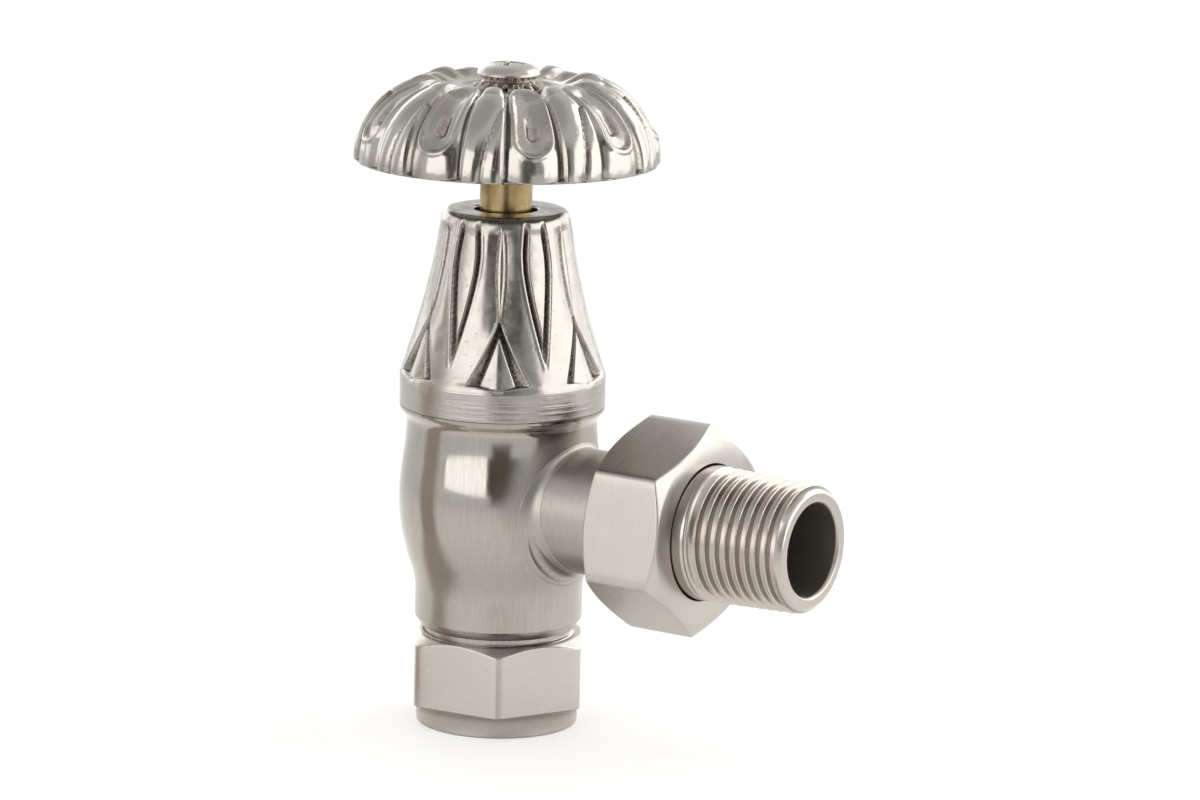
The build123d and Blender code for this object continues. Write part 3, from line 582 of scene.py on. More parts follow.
def corner_turns(first_corner, each):
    """Angles round a hexagon, closer together towards its corners."""
    u = np.linspace(-1, 1, each, endpoint=False)
    spread = 0.3 * u + 0.7 * np.sin(u * math.pi / 2)
    side = math.radians(30) * (spread + 1)
    return (first_corner + np.arange(6)[:, None] * math.radians(60) + side).reshape(-1, 1)


def hexagon_nut(name, axis, low, high, flats, corner, softness, inner, collar=None):
    """Nut whose outside is the lesser of a hexagon and two 30 degree cones, all edges soft.

    corner is where its first corner stands, in degrees, inner is its bored side from the high end
    to the low end, and collar is the turned neck (radius, height) below the hexagon, if any.
    """
    corner = math.radians(corner)
    turn = corner_turns(corner, 44)
    slope = math.tan(math.radians(60))
    face_r = flats / 2 * 0.985
    drop = (flats / math.sqrt(3) - face_r) / slope
    heights = np.r_[np.linspace(0, drop + 0.3, 18), high - low - np.linspace(drop + 0.3, 0, 18)]
    heights = finer(np.stack([heights * 0, heights], 1), 1.2)[:, 1]
    outside = np.stack([np.full(len(heights), flats / 2), low + heights], 1)
    bore_r = inner[-1][0]
    if collar:
        neck_r, foot = collar[0], low - collar[1]
        foot = rounded([(bore_r, foot, 0.15), (neck_r, foot, 0.45), (neck_r, low, 0)])
        foot = np.vstack([foot, [(neck_r + 0.03, low)]])
    else:
        foot = np.array([(bore_r, low)])
    bored = rounded([(face_r, high, 0), *[(r, h, 0.18) for r, h in inner]])[1:-1]
    line = np.vstack([foot, outside, bored])
    part = slice(len(foot), len(foot) + len(outside))
    radius = np.repeat(line[None, :, 0], len(turn), 0)
    cone = face_r + (high - line[part, 1]) * slope
    if not collar:
        cone = soft_min(cone, face_r + (line[part, 1] - low) * slope, 0.1)
    radius[:, part] = soft_min(hexagon(turn, flats, corner, softness), cone[None], 0.22)
    skin(name, turned(turn, radius, np.broadcast_to(line[:, 1], radius.shape), axis))


class BuildHexagonNuts(bpy.types.Operator):
    """Union nut on the tail and compression nut on the inlet"""

    bl_idname = "valve.build_hexagon_nuts"
    bl_label = "Hexagon nuts"

    def execute(self, context):
        softness = context.scene.valve_machined.hex_softness
        back, front = UNION_LOW[0], UNION_HIGH[0]
        shoulder, hole_r, thread_r = front - 3.5, 11.0, 13.25
        inner = [(hole_r, front), (hole_r, shoulder), (thread_r, shoulder), (thread_r, back)]
        hexagon_nut("union_hexagon", "x", back, front, 30.0, 83.0, softness, inner)
        seat, thread_r, pipe_r = 3.85, 12.05, 7.6
        inner = [(thread_r + 0.25, NUT_TOP), (thread_r, NUT_TOP - 0.6), (thread_r, 7.0)]
        inner += [(9.4, 6.2), (pipe_r, 2.6), (pipe_r, 0.0)]
        neck = (13.15, seat)
        hexagon_nut("inlet_hexagon", "z", seat, NUT_TOP, 27.0, 5.0, 1.7 * softness, inner, neck)
        return {"FINISHED"}


# ---------------------------------------------------------------- threads
def ridges(phase):
    """Height of a rolled thread from 0 to 1: narrow round crests over wide hollow valleys."""
    away = np.abs((phase % 1.0) - 0.5) * 2
    return ramp((away - 0.34) / 0.66) ** 1.5


class BuildThreadedTail(bpy.types.Operator):
    """Radiator tail with its helical taper thread, collar and seal groove"""

    bl_idname = "valve.build_threaded_tail"
    bl_label = "Threaded tail"

    def execute(self, context):
        sizes = context.scene.valve_machined
        nose, end, union_face = TAIL_LOW[0], TAIL_HIGH[0], UNION_HIGH[0]
        collar, start = union_face - 5.2, union_face + 1.5
        bore_r, nose_r, groove_r, collar_r, plain_r = 7.45, 9.15, 8.15, 12.4, 10.78
        gauge_r, gauge_x, mouth_x = 20.955 / 2, end - 8.2, end - 0.95
        groove_low, groove_high, collar_high = nose + 1.4, nose + 2.7, collar + 1.6
        foot = [(bore_r, nose, 0.1), (nose_r, nose, 0.35), (nose_r, groove_low, 0)]
        foot += [(groove_r, groove_low, 0), (groove_r, groove_high, 0), (nose_r, groove_high, 0)]
        foot += [(nose_r, collar, 0), (collar_r, collar, 0.1), (collar_r, collar_high, 0.2)]
        foot += [(plain_r, collar_high, 0.2), (plain_r, start, 0)]
        foot = finer(rounded(foot), 1.5)
        x = np.arange(start + 0.07, mouth_x, 0.075)
        # the crests rise by one in sixteen on the diameter towards the union nut
        crest = gauge_r + (gauge_x - x) / 32
        mouth = [(10.1, mouth_x, 0.1), (9.2, end - 0.02, 0.3), (7.75, end, 0.25)]
        mouth = rounded(mouth + [(bore_r, end - 0.5, 0.2), (bore_r, nose + 0.4, 0)])
        line = np.vstack([foot, np.stack([crest, x], 1), finer(mouth, 3.0)])
        part = slice(len(foot), len(foot) + len(x))
        turn, radius, along = swept(line, 260)
        thread = ridges((x[None] - end) / sizes.pipe_pitch - turn / (2 * math.pi))
        fade = ramp((x - start) / 2.4)
        valley = (1 - thread) * sizes.ridge_depth
        plain = np.minimum(plain_r, crest)
        radius[:, part] = plain + (crest - valley - plain) * fade
        radius[:, part] = np.minimum(radius[:, part], 10.15 + (mouth_x - x))
        # hollow marks the valleys, where the finish paints shade with stains
        hollow = np.zeros_like(radius)
        hollow[:, part] = (1 - thread) * fade
        bored = np.broadcast_to(line[:, 0] < 7.9, radius.shape)
        skin("threaded_tail", turned(turn, radius, along, "x"), hollow=hollow, bored=bored)
        return {"FINISHED"}


class BuildBodyThreads(bpy.types.Operator):
    """Helical crests of the two threads cut on the body, for the inlet nut and the union nut"""

    bl_idname = "valve.build_body_threads"
    bl_label = "Body threads"

    def execute(self, context):
        pitch = context.scene.valve_machined.body_pitch
        for name, axis, low, high, crest in (
            ("inlet_thread", "z", BODY_LOW[2] + 0.5, NUT_TOP + 0.75, 12.0),
            ("spout_thread", "x", UNION_LOW[0] + 1.5, BODY_HIGH[0] - 0.5, 13.2),
        ):
            along = np.arange(low, high, 0.1)
            outer = np.stack([np.full(len(along), crest + 0.02), along], 1)
            line = np.vstack([outer, [(crest - 1.2, high), (crest - 1.2, low)]])
            turn, radius, height = swept(line, 200)
            thread = ridges(along[None] / pitch - turn / (2 * math.pi))
            radius[:, : len(along)] += 0.55 * thread - 0.05
            # hollow marks the valleys, where the finish paints shade with stains
            hollow = np.zeros_like(radius)
            hollow[:, : len(along)] = 1 - thread
            skin(name, turned(turn, radius, height, axis), hollow=hollow)
        return {"FINISHED"}


# ---------------------------------------------------------------- spout fillet
def body_profile():
    """Heights and radii of the body's outside, read off the CAD mesh on its far side."""
    mesh = frame["nodes"]["valve_body"].data
    flat = np.zeros(len(mesh.vertices) * 3, np.float32)
    mesh.vertices.foreach_get("co", flat)
    co = flat.reshape(-1, 3) / MM
    radius = np.hypot(co[:, 0], co[:, 1])
    keep = (co[:, 0] < -6) & (radius > 12.1)
    z, r = co[keep, 2], radius[keep]
    levels = np.unique(np.round(z, 3))
    return levels, np.array([r[np.abs(z - level) < 2e-3].max() for level in levels])


class BuildSpoutFillet(bpy.types.Operator):
    """Forged fillet where the side spout grows out of the body"""

    bl_idname = "valve.build_spout_fillet"
    bl_label = "Spout fillet"

    def execute(self, context):
        levels, radii = body_profile()
        spout, sunk, steps = 10.1, 0.6, 12
        turn = np.linspace(0, 2 * math.pi, 220, endpoint=False)[:, None]
        # fillet is wider below the spout than above it
        reach = 1.7 - 0.9 * np.sin(turn)

        def body_x(radius):
            """Where the body's skin is, along the spout, at a distance from the spout's axis."""
            y, z = radius * np.cos(turn), TAIL_Z + radius * np.sin(turn)
            return np.sqrt(np.maximum(np.interp(z, levels, radii) ** 2 - y**2, 1.0))

        # the corner is where the body's tangent meets the spout, so that both ends run in flush
        edge = spout + reach
        slope = (body_x(edge + 0.4) - body_x(edge - 0.4)) / 0.8
        on_body = np.concatenate([body_x(edge), edge], 1)
        corner = np.concatenate([body_x(edge) - slope * reach, 0 * turn + spout], 1)
        on_spout = corner + np.concatenate([reach, 0 * turn], 1)
        arch = bend(on_spout[:, None], corner[:, None], on_body[:, None], steps)
        # its ends dip under the skins and the rest stands just clear of them
        arch += np.where(np.isin(np.arange(steps), (0, steps - 1)), -0.012, 0.012)[:, None] * (0, 1)
        inner = np.stack([on_body - (sunk, 0), on_spout - (0, sunk)], 1)
        line = np.concatenate([arch, inner], 1)
        skin("spout_fillet", turned(turn, line[..., 1], line[..., 0], "x")[:, ::-1])
        return {"FINISHED"}


# ---------------------------------------------------------------- wheel screw and washer
class BuildWheelScrew(bpy.types.Operator):
    """Domed cross-recess screw and the toothed washer under it"""

    bl_idname = "valve.build_wheel_screw"
    bl_label = "Wheel screw and washer"

    def execute(self, context):
        foot, top = SCREW_LOW[2], SCREW_HIGH[2]
        seat = WASHER_HIGH[2] - 0.2
        head_r, shank_r, flare = SCREW_HIGH[0] + 0.25, 2.4, seat + 1.25
        dome = bend((head_r, flare + 0.12), (head_r * 0.9, top + 0.05), (0.12, top), 34)
        shank = [(0.12, foot, 0), (shank_r - 0.5, foot, 0.1), (shank_r, foot + 0.5, 0.1)]
        head = [(shank_r, seat, 0), (3.7, seat, 0.05), (head_r, flare, 0.1), (*dome[0], 0)]
        shank = rounded(shank + head)
        line = np.vstack([finer(shank, 0.6)[:-1], dome])
        turn, radius, height = swept(line, 288)
        on_dome = np.arange(len(line)) >= len(line) - len(dome)
        # cross recess: two slots at right angles that shelve up to the head at their ends
        x, y = np.abs(radius * np.cos(turn - 0.35)), np.abs(radius * np.sin(turn - 0.35))
        recess = ramp((0.62 - np.minimum(x, y)) / 0.22) * ramp((2.75 - np.maximum(x, y)) / 1.5)
        recess = recess * on_dome
        points = turned(turn, radius, height - 1.25 * recess, "z")
        # the recess is passed on as hollow, where the finish paints shade
        skin("domed_wheel_screw", points, poles=True, hollow=recess)

        # the washer is a shallow cone whose outer teeth are twisted out of its slope
        high, hole_r, plain_r, washer_r = seat + 0.55, 2.45, 3.6, WASHER_HIGH[1] + 0.3
        line = [(hole_r, high - 0.55, 0), (plain_r, high - 0.55, 0), (washer_r, high - 1.75, 0.1)]
        line += [(washer_r, high - 1.25, 0.1), (plain_r, high, 0.1), (hole_r, high, 0)]
        line = rounded(line, closed=True)
        teeth = 18
        turn, radius, height = swept(finer(line, 0.3, closed=True), teeth * 16)
        gap = ramp((np.cos(turn * teeth) - 0.05) / 0.35)
        past = np.maximum(radius - 4.3, 0)
        radius = radius - gap * past * 0.9
        lean = np.sin(turn * teeth) * ramp(past / 1.2) * 0.2
        skin("toothed_washer", turned(turn, radius, height + lean + 0.5 * gap * past, "z"))
        return {"FINISHED"}


# ---------------------------------------------------------------- finishes
def polished_casting(name, colours, polish, band_top, grime_and_shade, clean):
    """Cast, tumbled and nickel plated: polished on the high places with soft waviness and a few
    pits.
    In the hollows the colour is painted shade, a brownish tint with dark grain over it, together
    with the dull grain where polishing never reached.  Below band_top the skin is turned, with rings
    0.25 mm apart, coarser than real so that they show."""
    add = blank(bpy.data.materials, name)
    hollow = add("Attribute", attribute_name="hollow", take="Fac")
    grain = add("TexNoise", place(add, 2.6), 1.0, 3.0, 0.6)  # 0.4 mm sand grain
    speckle = add("MapRange", grain, clean, clean + 0.2, 0.0, 1.0, **SMOOTH)
    # painted shade with grain: in the hollows the colour darkens to a brownish tint, and dark grain
    # speckles it there
    grain_and_shade = add("Math", hollow, speckle, **TIMES)
    tint = add("Mix", hollow, [*colours.nickel_tint, 1], grime_and_shade, **COLOUR)
    dark = add("Mix", grain_and_shade, tint, "2A2420", **COLOUR)
    cloud = add("TexNoise", place(add, 0.35), 1.0)  # 3 mm clouds in the polish
    base = add("MapRange", cloud, 0.3, 0.7, polish * 0.8, polish * 1.25, **SMOOTH)
    rough = add("Math", hollow, 0.22, base, **TIMES_PLUS)
    wave = add("TexNoise", place(add, 0.5), 1.0, 1.0)  # 2 mm swells left by the wheel
    pits = add("TexNoise", place(add, 1.4), 1.0)  # 0.7 mm pits
    pit = add("MapRange", pits, 0.68, 0.76, 0.0, -1.0, **SMOOTH)
    height = add("Math", pit, 0.5, wave, **TIMES_PLUS)
    level = add("SeparateXYZ", place(add, 1), take="Z")
    on_band = add("MapRange", level, band_top - 0.5, band_top + 0.3, 1.1, 0.0, **SMOOTH)
    ring = add("TexNoise", place(add, (0.03, 0.03, 4.0)), 1.0, 2.0, 0.6)
    rings = add("Math", ring, on_band, height, **TIMES_PLUS)
    shaded(add, dark, rough, rings, 0.11, 0.5)


def brushed_nickel(name, axis, centre_z, roughness):
    """Nickel plate over brushed brass: fine parallel scratches that spread each highlight across
    them.  The scratches run round the axis and are drawn 0.15 mm apart, coarser than real, so
    that they show."""
    add = blank(bpy.data.materials, name)
    streak = add("TexNoise", place(add, [0.12 + 6.5 * a for a in axis]), 1.0, 2.0, 0.6)
    patch = add("TexNoise", place(add, 0.12), 1.0)  # 8 mm patches, warmer where handled
    worn = add("MapRange", patch, 0.35, 0.7, 0.0, 0.3, **SMOOTH)
    tint = add("Mix", worn, "B7B2AC", "B0A9A1", **COLOUR)
    lined = add("MapRange", streak, 0.3, 0.75, 0.0, 0.09, **SMOOTH)
    shade = add("Mix", lined, tint, "9F978E", **COLOUR)
    low, high = roughness * 0.92, roughness * 1.1
    rough = add("MapRange", streak, 0.25, 0.75, low, high, **SMOOTH)
    along = {"Tangent": tangent_round(add, axis, centre_z), "Anisotropic_Rotation": 0.25}
    shaded(add, shade, rough, streak, 0.001, 0.6, Anisotropic=0.7, **along)


def polished_body(name, colours):
    """Hot-forged brass, polished and plated: near-mirror round the belly, more and more brushed
    round the skirt below it and on the spout, with faint upright draw marks."""
    add = blank(bpy.data.materials, name)
    split = add("SeparateXYZ", place(add, 1)).node.outputs
    skirt = add("MapRange", split["Z"], 22.0, 36.0, 1.0, 0.0, **SMOOTH)
    arm = add("VectorMath", place(add, (0, 1, 1)), (0, 0, TAIL_Z), operation="SUBTRACT")
    from_axis = add("VectorMath", arm, operation="LENGTH")
    beside = add("MapRange", from_axis, 12.0, 15.5, 1.0, 0.0, **SMOOTH)
    ahead = add("MapRange", split["X"], 6.0, 11.5, 0.0, 1.0, **SMOOTH)
    spout = add("Math", beside, ahead, **TIMES)
    low = add("Math", skirt, spout, **GREATER)
    draw = add("TexNoise", place(add, (2.8, 2.8, 0.16)), 1.0, 3.0, 0.6)  # marks 0.35 mm wide
    ring = add("TexNoise", place(add, (0.1, 0.1, 4.0)), 1.0, 3.0, 0.6)  # rings 0.25 mm apart
    patch = add("TexNoise", place(add, 0.14), 1.0)  # 7 mm patches of duller polish
    clean = add("MapRange", patch, 0.35, 0.7, 0.05, 0.09, **SMOOTH)
    rough = add("Math", low, 0.17, clean, **TIMES_PLUS)
    rough = add("Math", spout, 0.1, rough, **TIMES_PLUS)
    rough = add("Math", draw, 0.07, rough, **TIMES_PLUS)
    worn = add("MapRange", draw, 0.3, 0.7, 0.0, 0.45, **SMOOTH)
    shade = add("Mix", worn, [*colours.nickel_tint, 1], "99938C", **COLOUR)
    on_low = add("Math", ring, low, **TIMES)
    shaded(add, shade, rough, add("Math", on_low, draw, operation="ADD"), 0.008, 0.6)


def turned_thread(name):
    """Nickel over a cut thread: bright burnished crests, warm dull valleys with turning lines."""
    add = blank(bpy.data.materials, name)
    hollow = add("Attribute", attribute_name="hollow", take="Fac")
    bored = add("Attribute", attribute_name="bored", take="Fac")
    line = add("TexNoise", place(add, (5.0, 0.2, 0.2)), 1.0, 2.0, 0.6)  # 0.2 mm apart
    patch = add("TexNoise", place(add, 0.3), 1.0)  # 3 mm stains
    stain = add("MapRange", patch, 0.4, 0.62, 0.25, 0.75, **SMOOTH)
    # partly painted shade: the colour darkens and warms with the valleys' depth, more so in 3 mm
    # stains
    deep = add("Math", hollow, stain, **TIMES)
    shade = add("Mix", deep, "B6B0A9", "A89D91", **COLOUR)
    rough = add("Math", hollow, 0.06, 0.22, **TIMES_PLUS)
    shaded(add, shade, add("Math", bored, 0.16, rough, **TIMES_PLUS), line, 0.012, 0.5)


def drawn_brass(name, light, dark, roughness):
    """Turned brass left bare: a dull yellow-brown with fine turning lines and handling stains."""
    add = blank(bpy.data.materials, name)
    line = add("TexNoise", place(add, (0.4, 0.4, 5.0)), 1.0, 3.0, 0.6)  # 0.2 mm apart
    patch = add("TexNoise", place(add, (0.35, 0.35, 0.2)), 1.0)  # 3 mm stains
    stain = add("MapRange", patch, 0.35, 0.7, 0.0, 0.8, **SMOOTH)
    shade = add("Mix", stain, light, dark, **COLOUR)
    low, high = roughness * 0.85, roughness * 1.2
    rough = add("MapRange", line, 0.3, 0.7, low, high, **SMOOTH)
    shaded(add, shade, rough, line, 0.012, 0.5)


def mottled(name, stretch, light, dark, rough, depth_mm, hollow=False, **sockets):
    """Soft mottle in the colour, the sheen and the skin.  With hollow the dark colour is painted
    shade in the piece's hollows alone.  rough is one number, or the two that the mottle goes
    between."""
    add = blank(bpy.data.materials, name)
    grain = add("TexNoise", place(add, stretch), 1.0, 3.0)
    if hollow:
        share = add("Attribute", attribute_name="hollow", take="Fac")
    else:
        share = add("MapRange", grain, 0.35, 0.7, 0, 1, **SMOOTH)
    if isinstance(rough, tuple):
        rough = add("MapRange", grain, 0.3, 0.7, *rough, **SMOOTH)
    shaded(add, add("Mix", share, light, dark, **COLOUR), rough, grain, depth_mm, 0.4, **sockets)


class BuildFinishes(bpy.types.Operator):
    """Materials for every piece, and their place on the CAD nodes that stay in view"""

    bl_idname = "valve.build_finishes"
    bl_label = "Finishes"

    def execute(self, context):
        colours = context.scene.valve_finish
        tumbled, polish, satin = colours.tumbled, colours.polish, colours.satin
        band_top = JOINT_Z + 5.0
        # the darker colour of each casting is painted shade and grime in its hollows
        polished_casting("tumbled_nickel_casting", colours, tumbled, band_top, "70675E", 0.43)
        polished_casting("polished_nickel_casting", colours, polish, RIM_Z, "90887E", 0.5)
        brushed_nickel("brushed_nickel_union_nut", (1, 0, 0), TAIL_Z, satin)
        brushed_nickel("brushed_nickel_inlet_nut", (0, 0, 1), 0, satin)
        polished_body("soft_polished_nickel_body", colours)
        turned_thread("turned_nickel_thread")
        drawn_brass("dull_drawn_brass_spindle", "A6916A", "77623F", 0.24)
        drawn_brass("turned_brass_bar", "C9A662", "9A7B45", 0.28)
        drawn_brass("soft_annealed_brass", "CBAE6C", "A98D55", 0.33)
        # zinc and nickel plated steel: bright with a 1 mm mottle, and painted shade in the cross
        # recess
        screw = ("bright_plated_screw", 0.9, "AFAAA4", "5E564E", (0.2, 0.32), 0.02)
        mottled(*screw, hollow=True)
        # hardened steel with oil on it: mid grey, soft sheen, stained every 0.8 mm
        mottled("oiled_spring_steel", 1.2, "BEB9B2", "8E8880", (0.2, 0.36), 0.02)
        # moulded rubber and pressed packing: matt, with a grain of 0.5 and 0.8 mm, faint bloom
        for seal in (
            ("moulded_black_rubber", 2.0, "17171A", "28282A", 0.55, 0.03),
            ("pressed_white_packing", 1.25, "E4E2DC", "C9C5BC", 0.5, 0.03),
        ):
            mottled(*seal, Metallic=0.0)
        finishes = {
            "satin_nickel_body": "soft_polished_nickel_body",
            "spindle_brass": "dull_drawn_brass_spindle",
            "turned_brass": "turned_brass_bar",
            "olive_brass": "soft_annealed_brass",
            "spring_steel": "oiled_spring_steel",
            "seal_rubber": "moulded_black_rubber",
            "packing_ptfe": "pressed_white_packing",
        }
        slots = {s["node"]: s["material_slot"] for s in frame["record"]["subparts"]}
        for node, piece in frame["nodes"].items():
            if slots[node] in finishes and not piece.hide_render:
                piece.data.materials.clear()
                piece.data.materials.append(bpy.data.materials[finishes[slots[node]]])
        return {"FINISHED"}


# ---------------------------------------------------------------- stage
def seen_rays(add):
    """Share of the rays that come straight from the camera or by way of metal or glass."""
    rays = [add("LightPath", take=f"Is {kind} Ray") for kind in ("Camera", "Glossy")]
    both = add("Math", *rays, operation="ADD")
    through = add("LightPath", take="Is Transmission Ray")
    return add("Math", both, through, operation="ADD", use_clamp=True)


def stage_floor():
    """Pale painted floor, a flat disc whose rim is radius times cosine and sine.

    It takes the valve's shadow near the middle and passes into the white room further out, and
    sooner than that in what the metal mirrors.
    """
    edges, radius = 96, 4
    turn = np.linspace(0, 2 * math.pi, edges, endpoint=False)
    ring = np.stack([np.cos(turn) * radius, np.sin(turn) * radius, turn * 0], 1)
    mesh = bpy.data.meshes.new("studio_floor")
    mesh.from_pydata(ring.tolist(), [], [list(range(edges))])
    floor = put("studio_floor", mesh)
    add = blank(bpy.data.materials, "pale_studio_paint")
    cloud = add("TexNoise", place(add, 0.004), 1.0)  # 250 mm clouds left by the roller
    shade = add("Mix", cloud, "F2F1EF", "EDECEA", **COLOUR)
    paint = add("BsdfPrincipled", shade, Metallic=0.0, Roughness=0.6)
    away = add("VectorMath", add("TexCoord", take="Object"), operation="LENGTH")
    far = add("MapRange", away, 0.05, 0.3, 0.55, 1.0, **SMOOTH)
    far_in_metal = add("MapRange", away, 0.03, 0.34, 0.1, 1.0, **SMOOTH)
    straight = add("LightPath", take="Is Camera Ray")
    far = add("Mix", straight, far_in_metal, far)
    share = add("Math", far, seen_rays(add), **TIMES)
    white = add("Emission", "FFFFFF", 1.0)
    add("OutputMaterial", add("MixShader", share, paint, white))
    mesh.materials.append(bpy.data.materials["pale_studio_paint"])


def shade_card(look, name, turned_by, distance, size, shade, foot, reach):
    """Dark card, seen only in the metal, that draws a soft dark band there.

    It stands upright on the floor, and lies on the floor from there towards the valve as far as
    reach.  It thins out to nothing towards its sides and its top, and over the share foot of its
    height above the floor.
    """
    width, height = size
    a = math.radians(look + turned_by)
    ahead = np.array([math.sin(a), -math.cos(a), 0])
    across = np.array([math.cos(a), math.sin(a), 0])
    side, up = across * width / 2, np.array([0, 0, height])
    far, near = ahead * distance, ahead * reach + [0, 0, 0.0002]
    mesh = bpy.data.meshes.new(name)
    corners = [far - side, far + side, far + side + up, far - side + up, near - side, near + side]
    mesh.from_pydata([c.tolist() for c in corners], [], [(0, 1, 2, 3), (0, 4, 5, 1)])
    card = put(name, mesh)
    card.visible_camera = card.visible_diffuse = card.visible_shadow = False
    add = blank(bpy.data.materials, name + "_paper")
    paper = add("BsdfPrincipled", shade, Metallic=0.0, Roughness=0.8)
    where = add("TexCoord", take="Object")
    off = add("VectorMath", where, across, operation="DOT_PRODUCT")
    off = add("Math", off, operation="ABSOLUTE")
    thin = add("MapRange", off, width * 0.2, width * 0.5, 0.0, 1.0, **SMOOTH)
    level = add("SeparateXYZ", where, take="Z")
    low = add("MapRange", level, 0.0, height * foot, 1.0, 0.0, **SMOOTH) if foot else 0.0
    high = add("MapRange", level, height * 0.6, height, 0.0, 1.0, **SMOOTH)
    for fade in (low, high):
        thin = add("Math", thin, fade, **GREATER)
    clear = add("BsdfTransparent")
    add("OutputMaterial", add("MixShader", thin, paper, clear))
    mesh.materials.append(bpy.data.materials[name + "_paper"])


def soft_lamp(look, name, turned_by, height, distance, size, radiance):
    """Rectangular soft lamp that faces the valve, seen in metal but not by the camera.

    It stands turned_by degrees round from the camera's azimuth look, and its power in watts is
    its radiance times pi times its area.  One straight overhead, at no distance, isn't seen in
    metal either.
    """
    light = bpy.data.lights.new(name, "AREA")
    light.shape = "RECTANGLE"
    light.size, light.size_y = size
    light.energy = radiance * math.pi * size[0] * size[1]
    lamp = put(name, light)
    a = math.radians(look + turned_by)
    lamp.location = Vector((math.sin(a) * distance, -math.cos(a) * distance, height))
    facing = Vector(lamp.location) - Vector((0, 0, 0.05))
    if distance:
        facing.z = 0
    lamp.rotation_euler = facing.to_track_quat("Z", "Y").to_euler()
    lamp.visible_camera = False
    lamp.visible_glossy = distance > 0


def studio_room(azimuth):
    """Pale room, white behind the valve, whose dark curtains and grey ceiling the metal mirrors.

    A curtain is dark where the way to it, laid flat, makes a small angle with its middle.
    """
    add = blank(bpy.data.worlds, "studio_room")
    where = add("TexCoord", take="Generated")
    flat = add("VectorMath", where, (1, 1, 0), **TIMES)
    unit = add("VectorMath", flat, operation="NORMALIZE")
    shade = 0.0
    # two dark curtains behind the camera with a gap between them, and a grey one beside
    for turned_by, narrow, wide, strength in (
        (-5.5, 7, 11, 1.0),
        (14, 6.5, 11, 0.95),
        (32, 9, 17, 0.5),
    ):
        a = azimuth + math.radians(turned_by)
        ahead = (math.sin(a), -math.cos(a), 0.0)
        facing = add("VectorMath", unit, ahead, operation="DOT_PRODUCT")
        cosines = [math.cos(math.radians(d)) for d in (wide, narrow)]
        dark = add("MapRange", facing, *cosines, 0.0, strength, **SMOOTH)
        shade = add("Math", dark, shade, **GREATER)
    height = add("SeparateXYZ", where, take="Z")
    low = add("MapRange", height, 0.45, 0.8, 1.0, 0.0, **SMOOTH)
    shade = add("Math", shade, low, **TIMES)
    # grey ceiling, lower on the left
    lean = 0.27
    above = Vector((-lean * math.cos(azimuth), -lean * math.sin(azimuth), 1.0)).normalized()
    over = add("VectorMath", where, above, operation="DOT_PRODUCT")
    ceiling = add("MapRange", over, 0.72, 0.94, 0.0, 0.34, **SMOOTH)
    shade = add("Math", ceiling, shade, **GREATER)
    straight = add("LightPath", take="Is Camera Ray")
    inward = add("Math", 1.0, straight, operation="SUBTRACT")
    shade = add("Math", shade, inward, **TIMES)
    backdrop = add("Background", add("Mix", shade, "FFFFFF", "5C554F", **COLOUR), 1.0)
    room = add("Background", "F6F4F1", 0.95)
    add("OutputWorld", add("MixShader", seen_rays(add), room, backdrop))


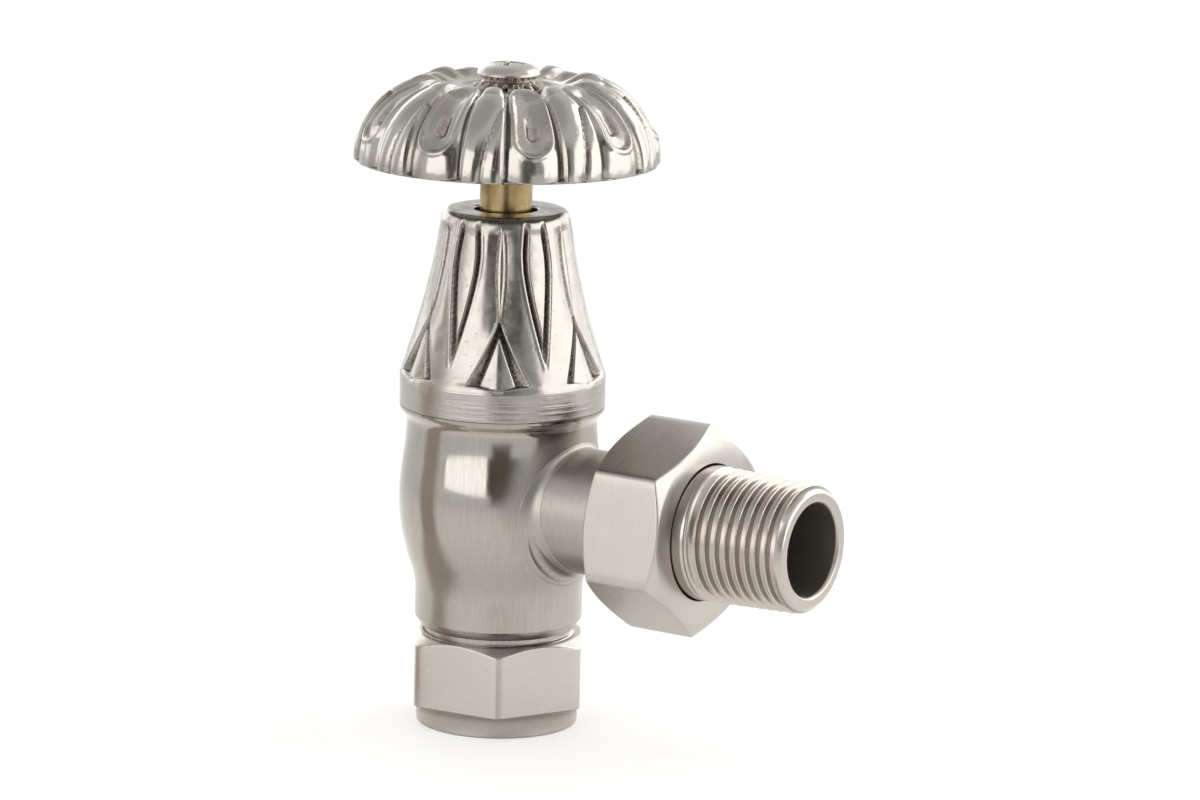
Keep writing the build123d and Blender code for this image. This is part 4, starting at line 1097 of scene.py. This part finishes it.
class BuildStage(bpy.types.Operator):
    """Floor, soft lamps, dark cards, pale room and camera"""

    bl_idname = "valve.build_stage"
    bl_label = "Stage"

    def execute(self, context):
        stage = context.scene.valve_stage
        stage_floor()
        look = math.degrees(stage.azimuth)
        for lamp in (
            # name, degrees round from the camera, height, distance, size, radiance
            ("left_softbox", -40.7, 0.37, 1.2, (1.135, 0.72), 1.5),
            ("left_strip", -108, 0.34, 1.2, (0.34, 0.68), 1.0),
            ("right_softbox", 81, 0.26, 0.62, (0.88, 0.5), 1.7),
            ("right_fill", 140, 0.4, 1.2, (0.9, 0.78), 1.25),
            ("right_high_box", 125, 1.0, 1.1, (0.9, 0.7), 1.9),
            ("back_fill", -150, 0.4, 1.2, (1.1, 0.78), 1.1),
            ("overhead_softbox", 0, 1.25, 0.0, (1.6, 1.4), 1.05),
        ):
            soft_lamp(look, *lamp)
        for card in (
            # name, degrees round from the camera, distance, size, shade, foot, reach
            ("edge_card", -83, 0.091, (0.05, 0.11), "AEA59B", 0.0, 0.028),
            ("low_curtain", 1, 0.26, (0.14, 0.16), "57514B", 0.2, 0.26),
        ):
            shade_card(look, *card)
        studio_room(stage.azimuth)
        context.scene.world = bpy.data.worlds["studio_room"]

        data = bpy.data.cameras.new("product_camera")
        data.lens = stage.lens
        data.sensor_width = 36.0
        data.clip_start, data.clip_end = 0.05, 20.0
        camera = put("product_camera", data)
        a, e = stage.azimuth, stage.elevation
        middle = Vector((0.018, 0.0015, 0.05534))
        back = Vector((math.sin(a) * math.cos(e), -math.cos(a) * math.cos(e), math.sin(e)))
        camera.location = middle + back * stage.distance
        facing = back.to_track_quat("Z", "Y")
        camera.rotation_euler = (facing @ Euler((0, 0, stage.roll)).to_quaternion()).to_euler()
        context.scene.camera = camera
        context.scene.view_settings.view_transform = "Standard"
        return {"FINISHED"}


# ---------------------------------------------------------------- panel and registration
SHAPES = (BuildLeafShroud, BuildHandwheel, BuildHexagonNuts, BuildThreadedTail, BuildBodyThreads)
STEPS = (BuildFinishes, *SHAPES, BuildSpoutFillet, BuildWheelScrew, BuildStage)
GROUPS = {
    "valve_castings": ValveCastingSizes,
    "valve_machined": ValveMachinedSizes,
    "valve_finish": ValveFinishColours,
    "valve_stage": ValveStageSettings,
}


class ValvePanel(bpy.types.Panel):
    """Sizes, finishes and build steps of the valve"""

    bl_idname = "VIEW3D_PT_valve"
    bl_label = "Radiator valve"
    bl_space_type = "VIEW_3D"
    bl_region_type = "UI"
    bl_category = "Valve"

    def draw(self, context):
        for name in GROUPS:
            box = self.layout.box()
            group = getattr(context.scene, name)
            for key in group.__annotations__:
                box.prop(group, key)
        for step in STEPS:
            self.layout.operator(step.bl_idname)


def register():
    """Registers the classes and hangs each property group on the scene."""
    for group in GROUPS.values():
        bpy.utils.register_class(group)
    for name, group in GROUPS.items():
        setattr(bpy.types.Scene, name, PointerProperty(type=group))
    for step in (*STEPS, ValvePanel):
        bpy.utils.register_class(step)


def unregister():
    """Takes the property groups and classes away again."""
    for step in (ValvePanel, *reversed(STEPS)):
        bpy.utils.unregister_class(step)
    for name in GROUPS:
        delattr(bpy.types.Scene, name)
    for group in GROUPS.values():
        bpy.utils.unregister_class(group)


def main():
    """Builds every piece in order."""
    register()
    for step in STEPS:
        getattr(bpy.ops.valve, step.bl_idname.removeprefix("valve."))()


if __name__ == "__main__":
    main()
